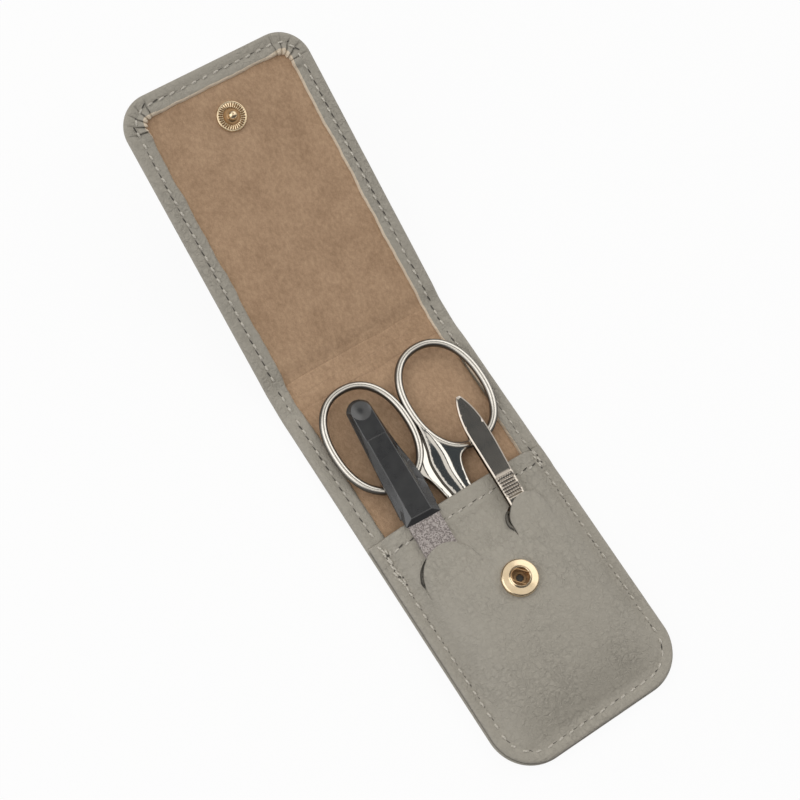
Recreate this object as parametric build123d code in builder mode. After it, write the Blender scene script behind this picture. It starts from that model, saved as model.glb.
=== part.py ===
"""Manicure set case: a stitched leather pocket case with a folding flap and a ball snap.

It holds nail scissors, a nail file and tweezers. Millimetres, +Z up. The origin is the centre of
the back panel's underside, +Y runs along the case towards the flap and +X to the right.
"""

import os
from math import atan2, cos, degrees, radians, sin, tan

from build123d import *

os.makedirs("parts", exist_ok=True)

# ---------------------------------------------------------------- driving dimensions
# leather panels
case_width = 55.0
body_length = 110.0
flap_length = 84.5
leather = 0.8
board = 0.6
lining = 0.4
band_width = 6.1  # leather turned over the edge onto the lining
body_corner = 12.0
flap_corner = 9.0
window_corner = 3.5  # inner corner of the turned band
edge_bevel = 0.35
fold_gap = 0.2  # each panel stops this far from its fold line

# the fold
rest_angle = 10.2  # each of the two fold lines, as the case lies open
snap_reach = 68.3  # from the first fold line to the socket's axis
closed_rise = 4.0  # slope of the closed flap over the filled pocket

# pocket
mouth_reach = 40.7  # from the fold line to the pocket's top edge
pocket_leather = 0.9
pocket_rim = 5.0  # flat stitched margin round the pocket
hem_width = 9.4  # from the pocket's top edge to the top of the two arched slits
shank_play = 0.15  # between the scissors and the pocket front at the mouth
arch_radius = 8.0
crown_height = 10.6  # outer height of the pocket front at the socket

# tools in the pocket
tool_tilt = 1.2  # the tools lean on the pocket's mouth
tool_mid_height = 3.6  # height of the scissors' mid-plane at the screw
tool_play = 0.15
tweezer_play = 0.4  # the tweezers lie a little higher than the file
passage_play = 0.3
tweezer_side_play = 0.2  # more room beside the tweezers
tweezer_room = 0.9  # and still more on their outer side

# scissors, drawn with their axis along y, in the plane of the rings
scissor_x = 1.3
screw_reach = 56.4  # from the fold line to the pivot
ring_wire = 1.1
ring_half_width = 10.4
ring_half_length = 15.05
ring_end_radius = 9.2  # the ring's four arcs are two of these and two longer side arcs
wire_sides = 12  # round wire is drawn with this many flats
ring_gap = 0.2
ring_distance = 40.0
scissor_thickness = 1.25  # of one half
blade_gap = 0.03
boss_radius = 3.9
blade_length = 34.0
blade_thickness = 0.9
screw_head_radius = 2.2
screw_head_height = 0.5
screw_radius = 1.2
screw_play = 0.05
screw_slot = 0.5
scissor_bevel = 0.35

# nail file
file_x = -11.6
file_reach = 42.0  # from the fold line to the handle's base
file_yaw = 2.9
handle_length = 35.7
handle_base_width = 10.0
handle_end_width = 7.2
handle_top_width = 5.8
handle_end_top_width = 5.4
handle_wall = 1.1
handle_height = 3.2
thumb_flat_length = 11.5
thumb_flat_drop = 0.35
dimple_radius = 2.9
dimple_depth = 0.55
dimple_reach = 32.4  # from the handle's base
file_blade_width = 9.1
file_blade_thickness = 1.0
file_blade_length = 45.0
file_tip_length = 9.0  # the rounded end of the blade
file_tang_width = 5.0
file_tang_length = 9.0
handle_relief = 2.4  # the base of the handle is cut away underneath over the pocket's edge

# tweezers
tweezer_x = 12.85
tweezer_reach = 44.0  # from the fold line to the grip's upper end
tweezer_yaw = 4.0
tweezer_back = 24.9  # from the grip's upper end to the leaf point
tweezer_front = 46.0  # from the grip's upper end to the tips
tweezer_leaf_width = 6.1
tweezer_width = 5.1
tweezer_tip_width = 3.0
tweezer_metal = 0.8
tweezer_gap = 1.0
weld_length = 9.0
bend_length = 7.0
bend_gap = 0.1
grip_ribs = 7
grip_pitch = 0.87
grip_depth = 0.15

# snap
snap_disc_radius = 4.9
snap_disc_height = 1.05
snap_lip_radius = 3.15
snap_lip_height = 2.4
snap_bore_radius = 2.3
snap_base = 0.3
snap_seat_sink = 0.35  # the leather is pressed flat this far below the crown
snap_seat_leather = 0.5
snap_play = 0.15  # between the stud's disc and the socket's lip when shut
spring_wire = 0.22
spring_half_gap = 1.65
spring_height = 1.85
eyelet_radius = 1.45
eyelet_bore = 0.95
eyelet_flange_radius = 3.2
eyelet_metal = 0.3
stud_disc_radius = 4.1
stud_disc_height = 0.6
stud_ball_radius = 1.35
stud_height = 2.35
stud_neck_radius = 1.05
stud_ribs = 32
cap_radius = 5.2
cap_height = 1.2
cap_post_radius = 0.7
cap_post_reach = 0.2  # how far the post enters the stud

# ---------------------------------------------------------------- derived places
half_width = case_width / 2
panel_thickness = leather + board + lining
band_top = panel_thickness + leather
fold_height = leather + lining  # the fold lines lie on the lining of the thin spine
fold_y = body_length / 2
snap_y = fold_y - snap_reach
pocket_mouth = fold_y - mouth_reach
arch_y = pocket_mouth - hem_width
screw_y = fold_y - screw_reach
file_y = fold_y - file_reach
tweezer_y = fold_y - tweezer_reach
snap_seat = crown_height - snap_seat_sink
mouth_height = (
    tool_mid_height + (pocket_mouth - screw_y) * tan(radians(tool_tilt))
    + scissor_thickness + shank_play + pocket_leather
)

# The shut flap rests on the snap, so the spine is as high as the snap and the pocket need.
closed_stack = snap_lip_height + snap_play + stud_disc_height + panel_thickness - fold_height
lean = closed_rise / 2
spine_height = (
    closed_stack
    - snap_reach * sin(radians(closed_rise))
    + (snap_seat - fold_height) * cos(radians(closed_rise))
) / cos(radians(closed_rise - lean))
closed_fold_y = fold_y + spine_height * sin(radians(lean))
closed_fold_height = fold_height + spine_height * cos(radians(lean))
stud_reach = (closed_fold_y - snap_y) * cos(radians(closed_rise)) + (
    snap_seat - closed_fold_height
) * sin(radians(closed_rise))
fold_turn = (180 - closed_rise - 2 * rest_angle) / 2  # each fold line, from rest to shut


def tilted(origin, angle):
    """A plane through origin that rises by angle towards +Y."""
    return Plane(
        origin=origin, x_dir=(1, 0, 0), z_dir=(0, -sin(radians(angle)), cos(radians(angle)))
    )


body_plane = Plane(origin=(0, fold_y, fold_height), x_dir=(-1, 0, 0), z_dir=(0, 0, 1))
spine_plane = tilted((0, fold_y, fold_height), rest_angle)
flap_plane = tilted(spine_plane.from_local_coords(Vector(0, spine_height, 0)), 2 * rest_angle)
socket_plane = tilted((0, snap_y, snap_seat), -closed_rise)
stud_plane = tilted(
    flap_plane.from_local_coords(Vector(0, stud_reach, panel_thickness - fold_height)),
    2 * rest_angle,
)
cap_plane = tilted(
    flap_plane.from_local_coords(Vector(0, stud_reach, -fold_height)), 2 * rest_angle
)
tool_plane = tilted((scissor_x, screw_y, tool_mid_height), tool_tilt)


def tool_frame(x, y, yaw):
    """The plane of a tool that lies over the scissors, turned clockwise by yaw."""
    return Plane(tool_plane.location * Location((x - scissor_x, y - screw_y, 0), (0, 0, -yaw)))


file_plane = tool_frame(file_x, file_y, file_yaw)
tweezer_plane = tool_frame(tweezer_x, tweezer_y, tweezer_yaw)
handle_floor = ring_wire + passage_play / 2
blade_floor = scissor_thickness + shank_play + pocket_leather + tool_play
tweezer_floor = blade_floor + tweezer_play
tweezer_mid = tweezer_floor + tweezer_metal + tweezer_gap / 2


def finish(piece, name):
    """Labels a finished piece and writes it."""
    piece.part.label = name
    export_step(piece.part, f"parts/{name}.step")


# ---------------------------------------------------------------- panels
def panel_outline(length, corner, inset=0.0):
    """A panel from its fold edge to its rounded far end, inset on three sides."""
    far = length - inset
    with BuildSketch() as outline:
        with Locations((0, (fold_gap + far) / 2)):
            Rectangle(case_width - 2 * inset, far - fold_gap)
        fillet(outline.vertices().group_by(Axis.Y)[-1], max(corner - inset, 0.5))
    return outline.sketch


def panel_skin(plane, length, corner, pierced=False):
    """The leather of a panel, turned over the edges of its board and lining."""
    outer_face = plane.offset(-fold_height)
    with BuildPart() as skin:
        with BuildSketch(outer_face):
            add(panel_outline(length, corner))
        extrude(amount=band_top)
        rims = skin.faces().filter_by(Axis(plane.origin, plane.z_dir)).edges()
        round_edges = [e for e in rims if plane.to_local_coords(e.center()).Y > fold_gap + 0.01]
        chamfer(round_edges, edge_bevel)
        with BuildSketch(outer_face.offset(leather)):
            add(panel_outline(length, corner, leather))
        extrude(amount=board + lining, mode=Mode.SUBTRACT)
        with BuildSketch(outer_face.offset(leather)):
            add(panel_outline(length, band_width + window_corner, band_width))
        extrude(amount=band_top, mode=Mode.SUBTRACT)
        if pierced:
            with BuildSketch(cap_plane):
                Circle(cap_post_radius)
            extrude(amount=4 * panel_thickness, both=True, mode=Mode.SUBTRACT)
    return skin


def panel_layer(plane, length, corner, bottom, thickness, pierced=False):
    """A flat layer inside the turned leather, from bottom above the leather's outer face."""
    with BuildPart() as layer:
        with BuildSketch(plane.offset(bottom - fold_height)):
            add(panel_outline(length, corner, leather))
        extrude(amount=thickness)
        if pierced:
            with BuildSketch(cap_plane):
                Circle(cap_post_radius)
            extrude(amount=4 * panel_thickness, both=True, mode=Mode.SUBTRACT)
    return layer


back_leather = panel_skin(body_plane, body_length, body_corner)
back_board = panel_layer(body_plane, body_length, body_corner, leather, board)
back_lining = panel_layer(body_plane, body_length, body_corner, leather + board, lining)

flap_leather = panel_skin(flap_plane, flap_length, flap_corner, pierced=True)
flap_board = panel_layer(flap_plane, flap_length, flap_corner, leather, board, pierced=True)
flap_lining = panel_layer(flap_plane, flap_length, flap_corner, leather + board, lining, pierced=True)


def spine_layer(bottom, thickness):
    """A strip of the thin spine between the two fold lines."""
    with BuildPart() as strip:
        with BuildSketch(spine_plane.offset(bottom - fold_height)):
            with Locations((0, spine_height / 2)):
                Rectangle(case_width, spine_height - 2 * fold_gap)
        extrude(amount=thickness)
    return strip


spine_leather = spine_layer(0, leather)
spine_lining = spine_layer(leather, lining)

# ---------------------------------------------------------------- pocket front
# The front lies flat on the turned band at its stitched rim and bulges over the tools. The bulge
# is a loft of cross-sections, each one a plan distance along Y and an outer height.
pocket_half = half_width - pocket_rim
rim_top = band_top + pocket_leather
low_shape = ((0.96, 0.45), (0.87, 0.82), (0.7, 1.0), (0.0, 1.0))  # share of half width, of rise
full_shape = ((0.95, 0.40), (0.84, 0.74), (0.5, 0.96), (0.0, 1.0))
arch_line = arch_y - 0.9
pocket_end = pocket_rim - body_length / 2
lower_front = snap_y - pocket_end  # from the snap to the stitched rim at the bottom
bulge = (
    (arch_line, mouth_height - 0.1, low_shape),
    ((arch_line + snap_y) / 2, (mouth_height + crown_height) / 2 + 0.5, full_shape),
    (snap_y, crown_height, full_shape),
    (pocket_end + 0.6 * lower_front, crown_height - 0.4, full_shape),
    (pocket_end + 0.38 * lower_front, crown_height - 1.4, full_shape),
    (pocket_end + 0.22 * lower_front, crown_height - 3.0, full_shape),
    (pocket_end + 0.08 * lower_front, rim_top + 1.9, full_shape),
    (pocket_end, rim_top + 0.25, full_shape),
)


def crown_section(y, half, base, height, shape):
    """One cross-section of the bulge: a flat base and a domed top."""
    rise = height - base
    right = [(half, base), *[(half * x, base + rise * z) for x, z in shape]]
    left = [(-x, z) for x, z in right[-2::-1]]
    with BuildSketch(Plane(origin=(0, y, 0), x_dir=(1, 0, 0), z_dir=(0, -1, 0))) as section:
        with BuildLine():
            Spline(*right, *left)
            Line(left[-1], right[0])
        make_face()
    return section.sketch


def crown(inset, mouth_end):
    """The bulged body of the pocket front, or its hollow when inset by the leather."""
    half = pocket_half - inset
    base = band_top - inset
    mouth = crown_section(mouth_end, half, base, mouth_height - inset, low_shape)
    sections = [
        crown_section(max(y, pocket_end + inset), half, base, height - inset, shape)
        for y, height, shape in bulge
    ]
    with BuildPart() as body:
        loft([mouth, sections[0]], ruled=True)
        loft(sections, ruled=True)
    return body


def tongue_outline(plane, height, side, edge, half, end):
    """The outline of a tongue at one height: straight legs and a round end."""
    with BuildSketch(plane.offset(height)) as outline:
        with BuildLine():
            Polyline((side - half, edge - half), (side - half, end), (side + half, end),
                     (side + half, edge - half))
            ThreePointArc((side + half, edge - half), (side, edge), (side - half, edge - half))
        make_face()
    return outline.sketch


def tongue(plane, side, half, ceiling, end_y):
    """The raised tongue of leather over a tool, with its round edge towards the mouth."""
    edge = arch_y - plane.origin.Y
    end = end_y - plane.origin.Y
    top = ceiling + pocket_leather
    with BuildPart() as hood:
        loft(
            [
                tongue_outline(plane, 0.5, side, edge, half, end),
                tongue_outline(plane, top, side, edge - 0.6, half - 1.5, end + 1),
            ],
            ruled=True,
        )
    return hood


def passage(plane, half, floor, ceiling, front, back, room=0.0):
    """The straight way of a tool through the pocket front, with play all round."""
    with BuildPart() as way:
        with BuildSketch(plane.offset(floor - tool_play)):
            with Locations((room / 2, (front + back) / 2)):
                Rectangle(2 * (half + passage_play) + room, front - back)
        extrude(amount=ceiling - floor + 2 * tool_play)
    return way


file_ceiling = blade_floor + file_blade_thickness
tweezer_ceiling = tweezer_floor + 2 * tweezer_metal + tweezer_gap
outer_crown = crown(0, pocket_mouth)
hollow = crown(pocket_leather, pocket_mouth + 1)
file_tongue_length = 14.0
tweezer_tongue_length = 18.0
tweezer_arch_radius = 5.8
file_tongue = tongue(
    file_plane, -0.6, arch_radius, file_ceiling + tool_play, arch_y - file_tongue_length
)
tweezer_tongue = tongue(
    tweezer_plane, 0.6, tweezer_arch_radius, tweezer_ceiling + tool_play,
    arch_y - tweezer_tongue_length,
)
file_way = passage(
    file_plane, file_blade_width / 2, blade_floor, file_ceiling,
    handle_length, -file_blade_length - 0.5,
)
tweezer_way = passage(
    tweezer_plane, tweezer_leaf_width / 2 + tweezer_side_play, tweezer_floor, tweezer_ceiling,
    tweezer_back, -tweezer_front - 0.5, tweezer_room,
)

with BuildPart() as pocket_front:
    with BuildSketch(body_plane.offset(band_top - fold_height)) as rim:
        with Locations((0, (fold_y - pocket_mouth + body_length) / 2)):
            Rectangle(case_width, body_length - fold_y + pocket_mouth)
        fillet(rim.vertices().group_by(Axis.Y)[-1], body_corner)
    extrude(amount=pocket_leather)
    chamfer(pocket_front.faces().sort_by(Axis.Z)[-1].edges(), edge_bevel)
    add(outer_crown.part)
    add(file_tongue.part)
    add(tweezer_tongue.part)
    add(hollow.part, mode=Mode.SUBTRACT)
    add(file_way.part, mode=Mode.SUBTRACT)
    add(tweezer_way.part, mode=Mode.SUBTRACT)
    # the flat seat of the snap
    with BuildSketch(socket_plane.offset(-snap_seat_leather)):
        Circle(snap_disc_radius + 0.4)
    extrude(amount=snap_seat_leather)
    with BuildSketch(socket_plane):
        Circle(snap_disc_radius + 0.4)
    extrude(amount=3, mode=Mode.SUBTRACT)
    with BuildSketch(socket_plane.offset(-snap_seat_leather)):
        Circle(eyelet_flange_radius + 0.1)
    extrude(amount=-2, mode=Mode.SUBTRACT)
    with BuildSketch(socket_plane):
        Circle(eyelet_radius)
    extrude(amount=2, both=True, mode=Mode.SUBTRACT)


# ---------------------------------------------------------------- snap
def turned(plane, profile):
    """A body of revolution about the plane's normal from (radius, height) points."""
    meridian = Plane(origin=plane.origin, x_dir=plane.x_dir, z_dir=-plane.y_dir)
    with BuildPart() as body:
        with BuildSketch(meridian):
            with BuildLine():
                Polyline(*profile, close=True)
            make_face()
        revolve(axis=Axis(plane.origin, plane.z_dir))
    return body


groove_low = spring_height - 1.25 * spring_wire
groove_high = spring_height + 1.25 * spring_wire
socket_profile = (
    (eyelet_radius, 0),
    (snap_disc_radius, 0),
    (snap_disc_radius, 0.75),
    (snap_disc_radius - 0.2, 1.0),
    (snap_disc_radius - 0.6, snap_disc_height),
    (snap_lip_radius + 0.25, 0.75),
    (snap_lip_radius, 1.2),
    (snap_lip_radius, snap_lip_height - 0.2),
    (snap_lip_radius - 0.2, snap_lip_height),
    (snap_bore_radius + 0.2, snap_lip_height),
    (snap_bore_radius, snap_lip_height - 0.15),
    (snap_bore_radius, groove_high),
    (snap_bore_radius + 0.5, groove_high),
    (snap_bore_radius + 0.5, groove_low),
    (snap_bore_radius, groove_low),
    (snap_bore_radius, snap_base),
    (eyelet_radius, snap_base),
)
socket_shell = turned(socket_plane, socket_profile)
eyelet_profile = (
    (eyelet_bore, -snap_seat_leather - eyelet_metal),
    (eyelet_flange_radius, -snap_seat_leather - eyelet_metal),
    (eyelet_flange_radius, -snap_seat_leather),
    (eyelet_radius, -snap_seat_leather),
    (eyelet_radius, snap_base),
    (eyelet_radius + 0.3, snap_base),
    (eyelet_radius + 0.2, snap_base + 0.1),
    (eyelet_bore + 0.1, snap_base + 0.1),
    (eyelet_bore, snap_base),
)
socket_eyelet = turned(socket_plane, eyelet_profile)

# a hairpin of spring wire: two legs across the bore, joined round the groove
spring_plane = Plane(socket_plane.location * Location((0, 0, spring_height), (0, 0, 41)))
bow_radius = snap_bore_radius + 0.2
leg_end = (bow_radius**2 - spring_half_gap**2) ** 0.5
bow_start = bow_radius - spring_half_gap
with BuildPart() as socket_spring:
    with BuildLine(spring_plane) as hairpin:
        Line((spring_half_gap, -leg_end), (spring_half_gap, bow_start))
        CenterArc((0, bow_start), spring_half_gap, 0, 180)
        Line((-spring_half_gap, bow_start), (-spring_half_gap, -leg_end))
    with BuildSketch(Plane(origin=hairpin.wire() @ 0, z_dir=hairpin.wire() % 0)):
        RegularPolygon(spring_wire, wire_sides)
    sweep(path=hairpin.wire())

ball_centre = stud_disc_height + stud_height - stud_ball_radius
stud_profile = (
    (0, cap_post_reach),
    (cap_post_radius, cap_post_reach),
    (cap_post_radius, 0),
    (stud_disc_radius, 0),
    (stud_disc_radius, 0.35),
    (stud_disc_radius - 0.25, stud_disc_height),
    (stud_disc_radius - 0.65, stud_disc_height - 0.1),
    (2.2, stud_disc_height - 0.1),
    (2.1, stud_disc_height - 0.25),
    (stud_neck_radius, stud_disc_height - 0.05),
    (stud_neck_radius, ball_centre),
    (0, ball_centre),
)
with BuildPart() as flap_stud:
    add(turned(stud_plane, stud_profile).part)
    with Locations(Location(stud_plane.from_local_coords(Vector(0, 0, ball_centre)))):
        Sphere(stud_ball_radius)
    with BuildSketch(stud_plane.offset(stud_disc_height - 0.15)):
        with PolarLocations(2.85, stud_ribs):
            Rectangle(1.1, 0.24)
    extrude(amount=0.12)

cap_profile = (
    (0, -cap_height),
    (1.8, -cap_height + 0.06),
    (3.4, -cap_height + 0.25),
    (cap_radius - 0.5, -cap_height + 0.6),
    (cap_radius, -0.35),
    (cap_radius, 0),
    (cap_post_radius, 0),
    (cap_post_radius, panel_thickness + cap_post_reach),
    (0, panel_thickness + cap_post_reach),
)
flap_cap = turned(cap_plane, cap_profile)

# ---------------------------------------------------------------- scissors
ring_x = ring_gap / 2 + ring_wire + ring_half_width
ring_end = ring_half_length - ring_end_radius
ring_side_radius = (ring_half_width**2 + ring_end**2 - ring_end_radius**2) / (
    2 * (ring_half_width - ring_end_radius)
)
ring_side = ring_side_radius - ring_half_width
ring_join = degrees(atan2(ring_end, ring_side))
web_inner = ((9.2, 26.1), (7.0, 26.8), (4.45, 28.4), (2.9, 30.6), (2.1, 33.6), (1.3, 34.5))
shank_inner = ((0.2, 32.3), (-1.3, 28.6), (-2.6, 25.0), (-2.4, 20.3), (-1.7, 15.7), (-2.4, 8.0))
shank_outer = ((3.4, 8.0), (3.7, 15.9), (4.4, 19.9), (5.2, 22.5), (6.3, 24.0), (9.3, 25.0))
blade_outline = (
    (-3.9, 0), (-3.7, -10), (-2.6, -24), (0, -blade_length), (0.4, -24), (0.9, -2), (3.0, 0)
)


def scissor_half(side):
    """One half of the scissors: the right one (side 1) lies on top of the left one (side -1)."""
    x, y = side * ring_x, ring_distance
    low = blade_gap if side > 0 else -scissor_thickness
    blade_low = blade_gap if side > 0 else -blade_thickness
    outer = Axis(tool_plane.origin, tool_plane.z_dir * side)
    with BuildPart() as half:
        with BuildSketch(tool_plane.offset(low)):
            run = web_inner + shank_inner + ((-2.4, 0), (3.4, 0)) + shank_outer
            with BuildLine():
                Polyline(*[(side * u, y) for u, y in run], close=True)
            make_face()
            Circle(boss_radius)
        extrude(amount=scissor_thickness - blade_gap)
        chamfer(half.faces().sort_by(outer)[-1].edges(), scissor_bevel)
        with BuildSketch(tool_plane.offset(blade_low)):
            with BuildLine():
                Polyline(*[(side * u, y) for u, y in blade_outline], close=True)
            make_face()
        extrude(amount=blade_thickness - blade_gap)
        with BuildLine(tool_plane) as centre_line:
            CenterArc((x - ring_side, y), ring_side_radius, -ring_join, 2 * ring_join)
            CenterArc((x, y + ring_end), ring_end_radius, ring_join, 180 - 2 * ring_join)
            CenterArc((x + ring_side, y), ring_side_radius, 180 - ring_join, 2 * ring_join)
            CenterArc((x, y - ring_end), ring_end_radius, 180 + ring_join, 180 - 2 * ring_join)
        with BuildSketch(Plane(origin=centre_line.wire() @ 0, z_dir=centre_line.wire() % 0)):
            RegularPolygon(ring_wire, wire_sides)
        sweep(path=centre_line.wire())
        with BuildSketch(tool_plane):
            Circle(screw_radius + (screw_play if side > 0 else 0))
        extrude(amount=3, both=True, mode=Mode.SUBTRACT)
    return half


scissor_half_left = scissor_half(-1)
half_right = scissor_half(1)
head_top = scissor_thickness - screw_play
head_low = head_top - screw_head_height
recess_profile = (
    (0, head_low - screw_play),
    (screw_radius + screw_play, head_low - screw_play),
    (screw_head_radius + screw_play, head_top - 2 * screw_play),
    (screw_head_radius + screw_play, head_top + 1),
    (0, head_top + 1),
)
screw_profile = (
    (0, -scissor_thickness),
    (screw_radius, -scissor_thickness),
    (screw_radius, head_low),
    (screw_head_radius, head_top - screw_play),
    (screw_head_radius, head_top),
    (0, head_top),
)
with BuildPart() as scissor_half_right:
    add(half_right.part)
    add(turned(tool_plane, recess_profile).part, mode=Mode.SUBTRACT)
with BuildPart() as scissor_screw:
    add(turned(tool_plane, screw_profile).part)
    with BuildSketch(tool_plane.offset(head_top)):
        Rectangle(screw_slot, 2 * screw_head_radius + 1, rotation=35)
    extrude(amount=-0.3, mode=Mode.SUBTRACT)

# ---------------------------------------------------------------- nail file
def handle_outline(height, base_half, end_half, start, end):
    """The handle's outline at one height: tapering sides and a rounded end."""
    with BuildSketch(file_plane.offset(height)) as outline:
        with BuildLine():
            Polyline((-end_half, end - 2.2), (-base_half, start), (base_half, start),
                     (end_half, end - 2.2))
            ThreePointArc((end_half, end - 2.2), (0, end), (-end_half, end - 2.2))
        make_face()
    return outline.sketch


handle_top = handle_floor + handle_height
shoulder = handle_floor + handle_wall
with BuildPart() as file_handle:
    base_half, end_half = handle_base_width / 2, handle_end_width / 2
    top_base_half, top_end_half = handle_top_width / 2, handle_end_top_width / 2
    wall = handle_outline(handle_floor, base_half, end_half, 0, handle_length)
    low = handle_outline(shoulder, base_half, end_half, 0, handle_length)
    high = handle_outline(handle_top, top_base_half, top_end_half, 1.2, handle_length - 1.4)
    extrude(wall, amount=handle_wall)
    loft([low, high], ruled=True)
    with BuildSketch(file_plane.offset(handle_top - thumb_flat_drop)):
        with Locations((0, handle_length)):
            Rectangle(2 * handle_base_width, 2 * thumb_flat_length)
    extrude(amount=2, mode=Mode.SUBTRACT)
    ball = (dimple_radius**2 + dimple_depth**2) / (2 * dimple_depth)
    ball_height = handle_top - thumb_flat_drop - dimple_depth + ball
    with Locations(Location(file_plane.from_local_coords(Vector(0, dimple_reach, ball_height)))):
        Sphere(ball, mode=Mode.SUBTRACT)
    # relief over the edge of the pocket front
    with BuildSketch(file_plane.offset(handle_floor)):
        Rectangle(2 * handle_base_width, 2 * handle_relief)
    extrude(amount=blade_floor - handle_floor, mode=Mode.SUBTRACT)
    with BuildSketch(file_plane.offset(blade_floor)):
        with Locations((0, file_tang_length / 2)):
            Rectangle(file_tang_width, file_tang_length)
    extrude(amount=file_blade_thickness, mode=Mode.SUBTRACT)

with BuildPart() as file_blade:
    with BuildSketch(file_plane.offset(blade_floor)):
        with BuildLine():
            tip_half = file_blade_width / 2
            Polyline((-tip_half, -file_blade_length + file_tip_length), (-tip_half, 0), (tip_half, 0),
                     (tip_half, -file_blade_length + file_tip_length))
            Spline((tip_half, -file_blade_length + file_tip_length),
                   (tip_half - 1.6, -file_blade_length + 3.5),
                   (0, -file_blade_length), (-tip_half + 1.6, -file_blade_length + 3.5),
                   (-tip_half, -file_blade_length + file_tip_length))
        make_face()
        with Locations((0, file_tang_length / 2)):
            Rectangle(file_tang_width, file_tang_length)
    extrude(amount=file_blade_thickness)

# ---------------------------------------------------------------- tweezers
leaf = ((0.0, tweezer_back), (1.6, 22.8), (2.5, 19.5), (3.1, 14.5), (2.6, 0.0), (2.5, -7.0),
        (tweezer_tip_width / 2, -tweezer_front))
hinge_y = tweezer_back - weld_length
arm_rise = (tweezer_gap + bend_gap) / 2
tweezer_side_plane = Plane(
    origin=tweezer_plane.origin, x_dir=tweezer_plane.y_dir, z_dir=tweezer_plane.x_dir
)


def tweezer_strip(side, back, front):
    """A strip of the tweezers between two distances along them: side 1 is the upper arm."""
    rise = tweezer_gap / 2
    inner = (
        (tweezer_back + 1, 0),
        (hinge_y, 0),
        (hinge_y - bend_length, rise),
        (-tweezer_front + 6, rise),
        (-tweezer_front - 1, rise * 0.8),
    )
    outer = [(y, z + tweezer_metal) for y, z in inner[::-1]]
    ribs = [-grip_pitch * n for n in range(grip_ribs)]
    with BuildPart() as strip:
        with BuildSketch(tweezer_side_plane):
            with BuildLine():
                points = [(y, tweezer_mid + side * z) for y, z in (*inner, *outer)]
                Polyline(*points, close=True)
            make_face()
        extrude(amount=tweezer_leaf_width, both=True)
        with BuildSketch(tweezer_side_plane):
            crest = tweezer_mid + side * (rise + tweezer_metal)
            with Locations(*[(y, crest) for y in ribs]):
                Rectangle(grip_pitch * 0.45, 2 * grip_depth)
        extrude(amount=tweezer_leaf_width, both=True, mode=Mode.SUBTRACT)
        with BuildSketch(tweezer_plane):
            with BuildLine():
                edge = [(w, y) for w, y in leaf]
                Polyline(*edge, *[(-w, y) for w, y in edge[:0:-1]], close=True)
            make_face()
        extrude(amount=4 * tweezer_ceiling, both=True, mode=Mode.INTERSECT)
        with BuildSketch(tweezer_plane):
            with Locations((0, (back + front) / 2)):
                Rectangle(2 * tweezer_leaf_width, back - front)
        extrude(amount=4 * tweezer_ceiling, both=True, mode=Mode.INTERSECT)
    return strip


tweezer_arm_top = tweezer_strip(1, tweezer_back + 1, -tweezer_front - 1)
tweezer_heel = tweezer_strip(-1, tweezer_back + 1, hinge_y)
tweezer_arm_bottom = tweezer_strip(-1, hinge_y - bend_gap, -tweezer_front - 1)

# ---------------------------------------------------------------- labels and files
finish(back_leather, "back_leather")
finish(back_board, "back_board")
finish(back_lining, "back_lining")
finish(pocket_front, "pocket_front")
finish(socket_shell, "socket_shell")
finish(socket_spring, "socket_spring")
finish(socket_eyelet, "socket_eyelet")
finish(spine_leather, "spine_leather")
finish(spine_lining, "spine_lining")
finish(flap_leather, "flap_leather")
finish(flap_board, "flap_board")
finish(flap_lining, "flap_lining")
finish(flap_stud, "flap_stud")
finish(flap_cap, "flap_cap")
finish(scissor_half_left, "scissor_half_left")
finish(scissor_half_right, "scissor_half_right")
finish(scissor_screw, "scissor_screw")
finish(file_handle, "file_handle")
finish(file_blade, "file_blade")
finish(tweezer_arm_top, "tweezer_arm_top")
finish(tweezer_arm_bottom, "tweezer_arm_bottom")
finish(tweezer_heel, "tweezer_heel")
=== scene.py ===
# %% [markdown]
# A stitched leather case for nail scissors, a file and tweezers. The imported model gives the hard
# parts in their true places. This script dresses it: soft leather, suede, thread, metal and light.
# Every length below is written in millimetres and turned into metres when a mesh is made.

from math import atan2, ceil, cos, exp, hypot, pi, radians, sin, sqrt

import bmesh
import bpy
from mathutils import Matrix, Vector, noise
from mathutils.geometry import delaunay_2d_cdt


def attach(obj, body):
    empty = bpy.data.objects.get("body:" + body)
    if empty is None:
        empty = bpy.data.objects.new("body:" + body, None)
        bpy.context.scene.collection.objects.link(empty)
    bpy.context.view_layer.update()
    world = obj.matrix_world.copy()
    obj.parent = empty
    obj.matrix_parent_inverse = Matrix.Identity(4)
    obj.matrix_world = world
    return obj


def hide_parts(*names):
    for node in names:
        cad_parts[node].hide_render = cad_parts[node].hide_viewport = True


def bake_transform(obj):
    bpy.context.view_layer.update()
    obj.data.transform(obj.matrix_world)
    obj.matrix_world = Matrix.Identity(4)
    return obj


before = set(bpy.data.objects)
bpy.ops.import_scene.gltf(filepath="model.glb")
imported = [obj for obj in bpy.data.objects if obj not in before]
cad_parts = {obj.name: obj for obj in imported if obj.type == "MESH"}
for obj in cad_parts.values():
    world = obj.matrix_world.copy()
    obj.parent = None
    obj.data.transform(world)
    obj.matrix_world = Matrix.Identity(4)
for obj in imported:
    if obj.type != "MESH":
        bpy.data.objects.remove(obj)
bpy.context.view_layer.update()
MM = 0.001

# %% [markdown]
# The open case bends at two fold lines, 10 degrees each, with a thin spine between them. One
# function lays flat leather onto that bent shape: x across, s along from the first fold line and
# n up from the leather's underside. All leather, lining and thread of the panels goes through it.

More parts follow.
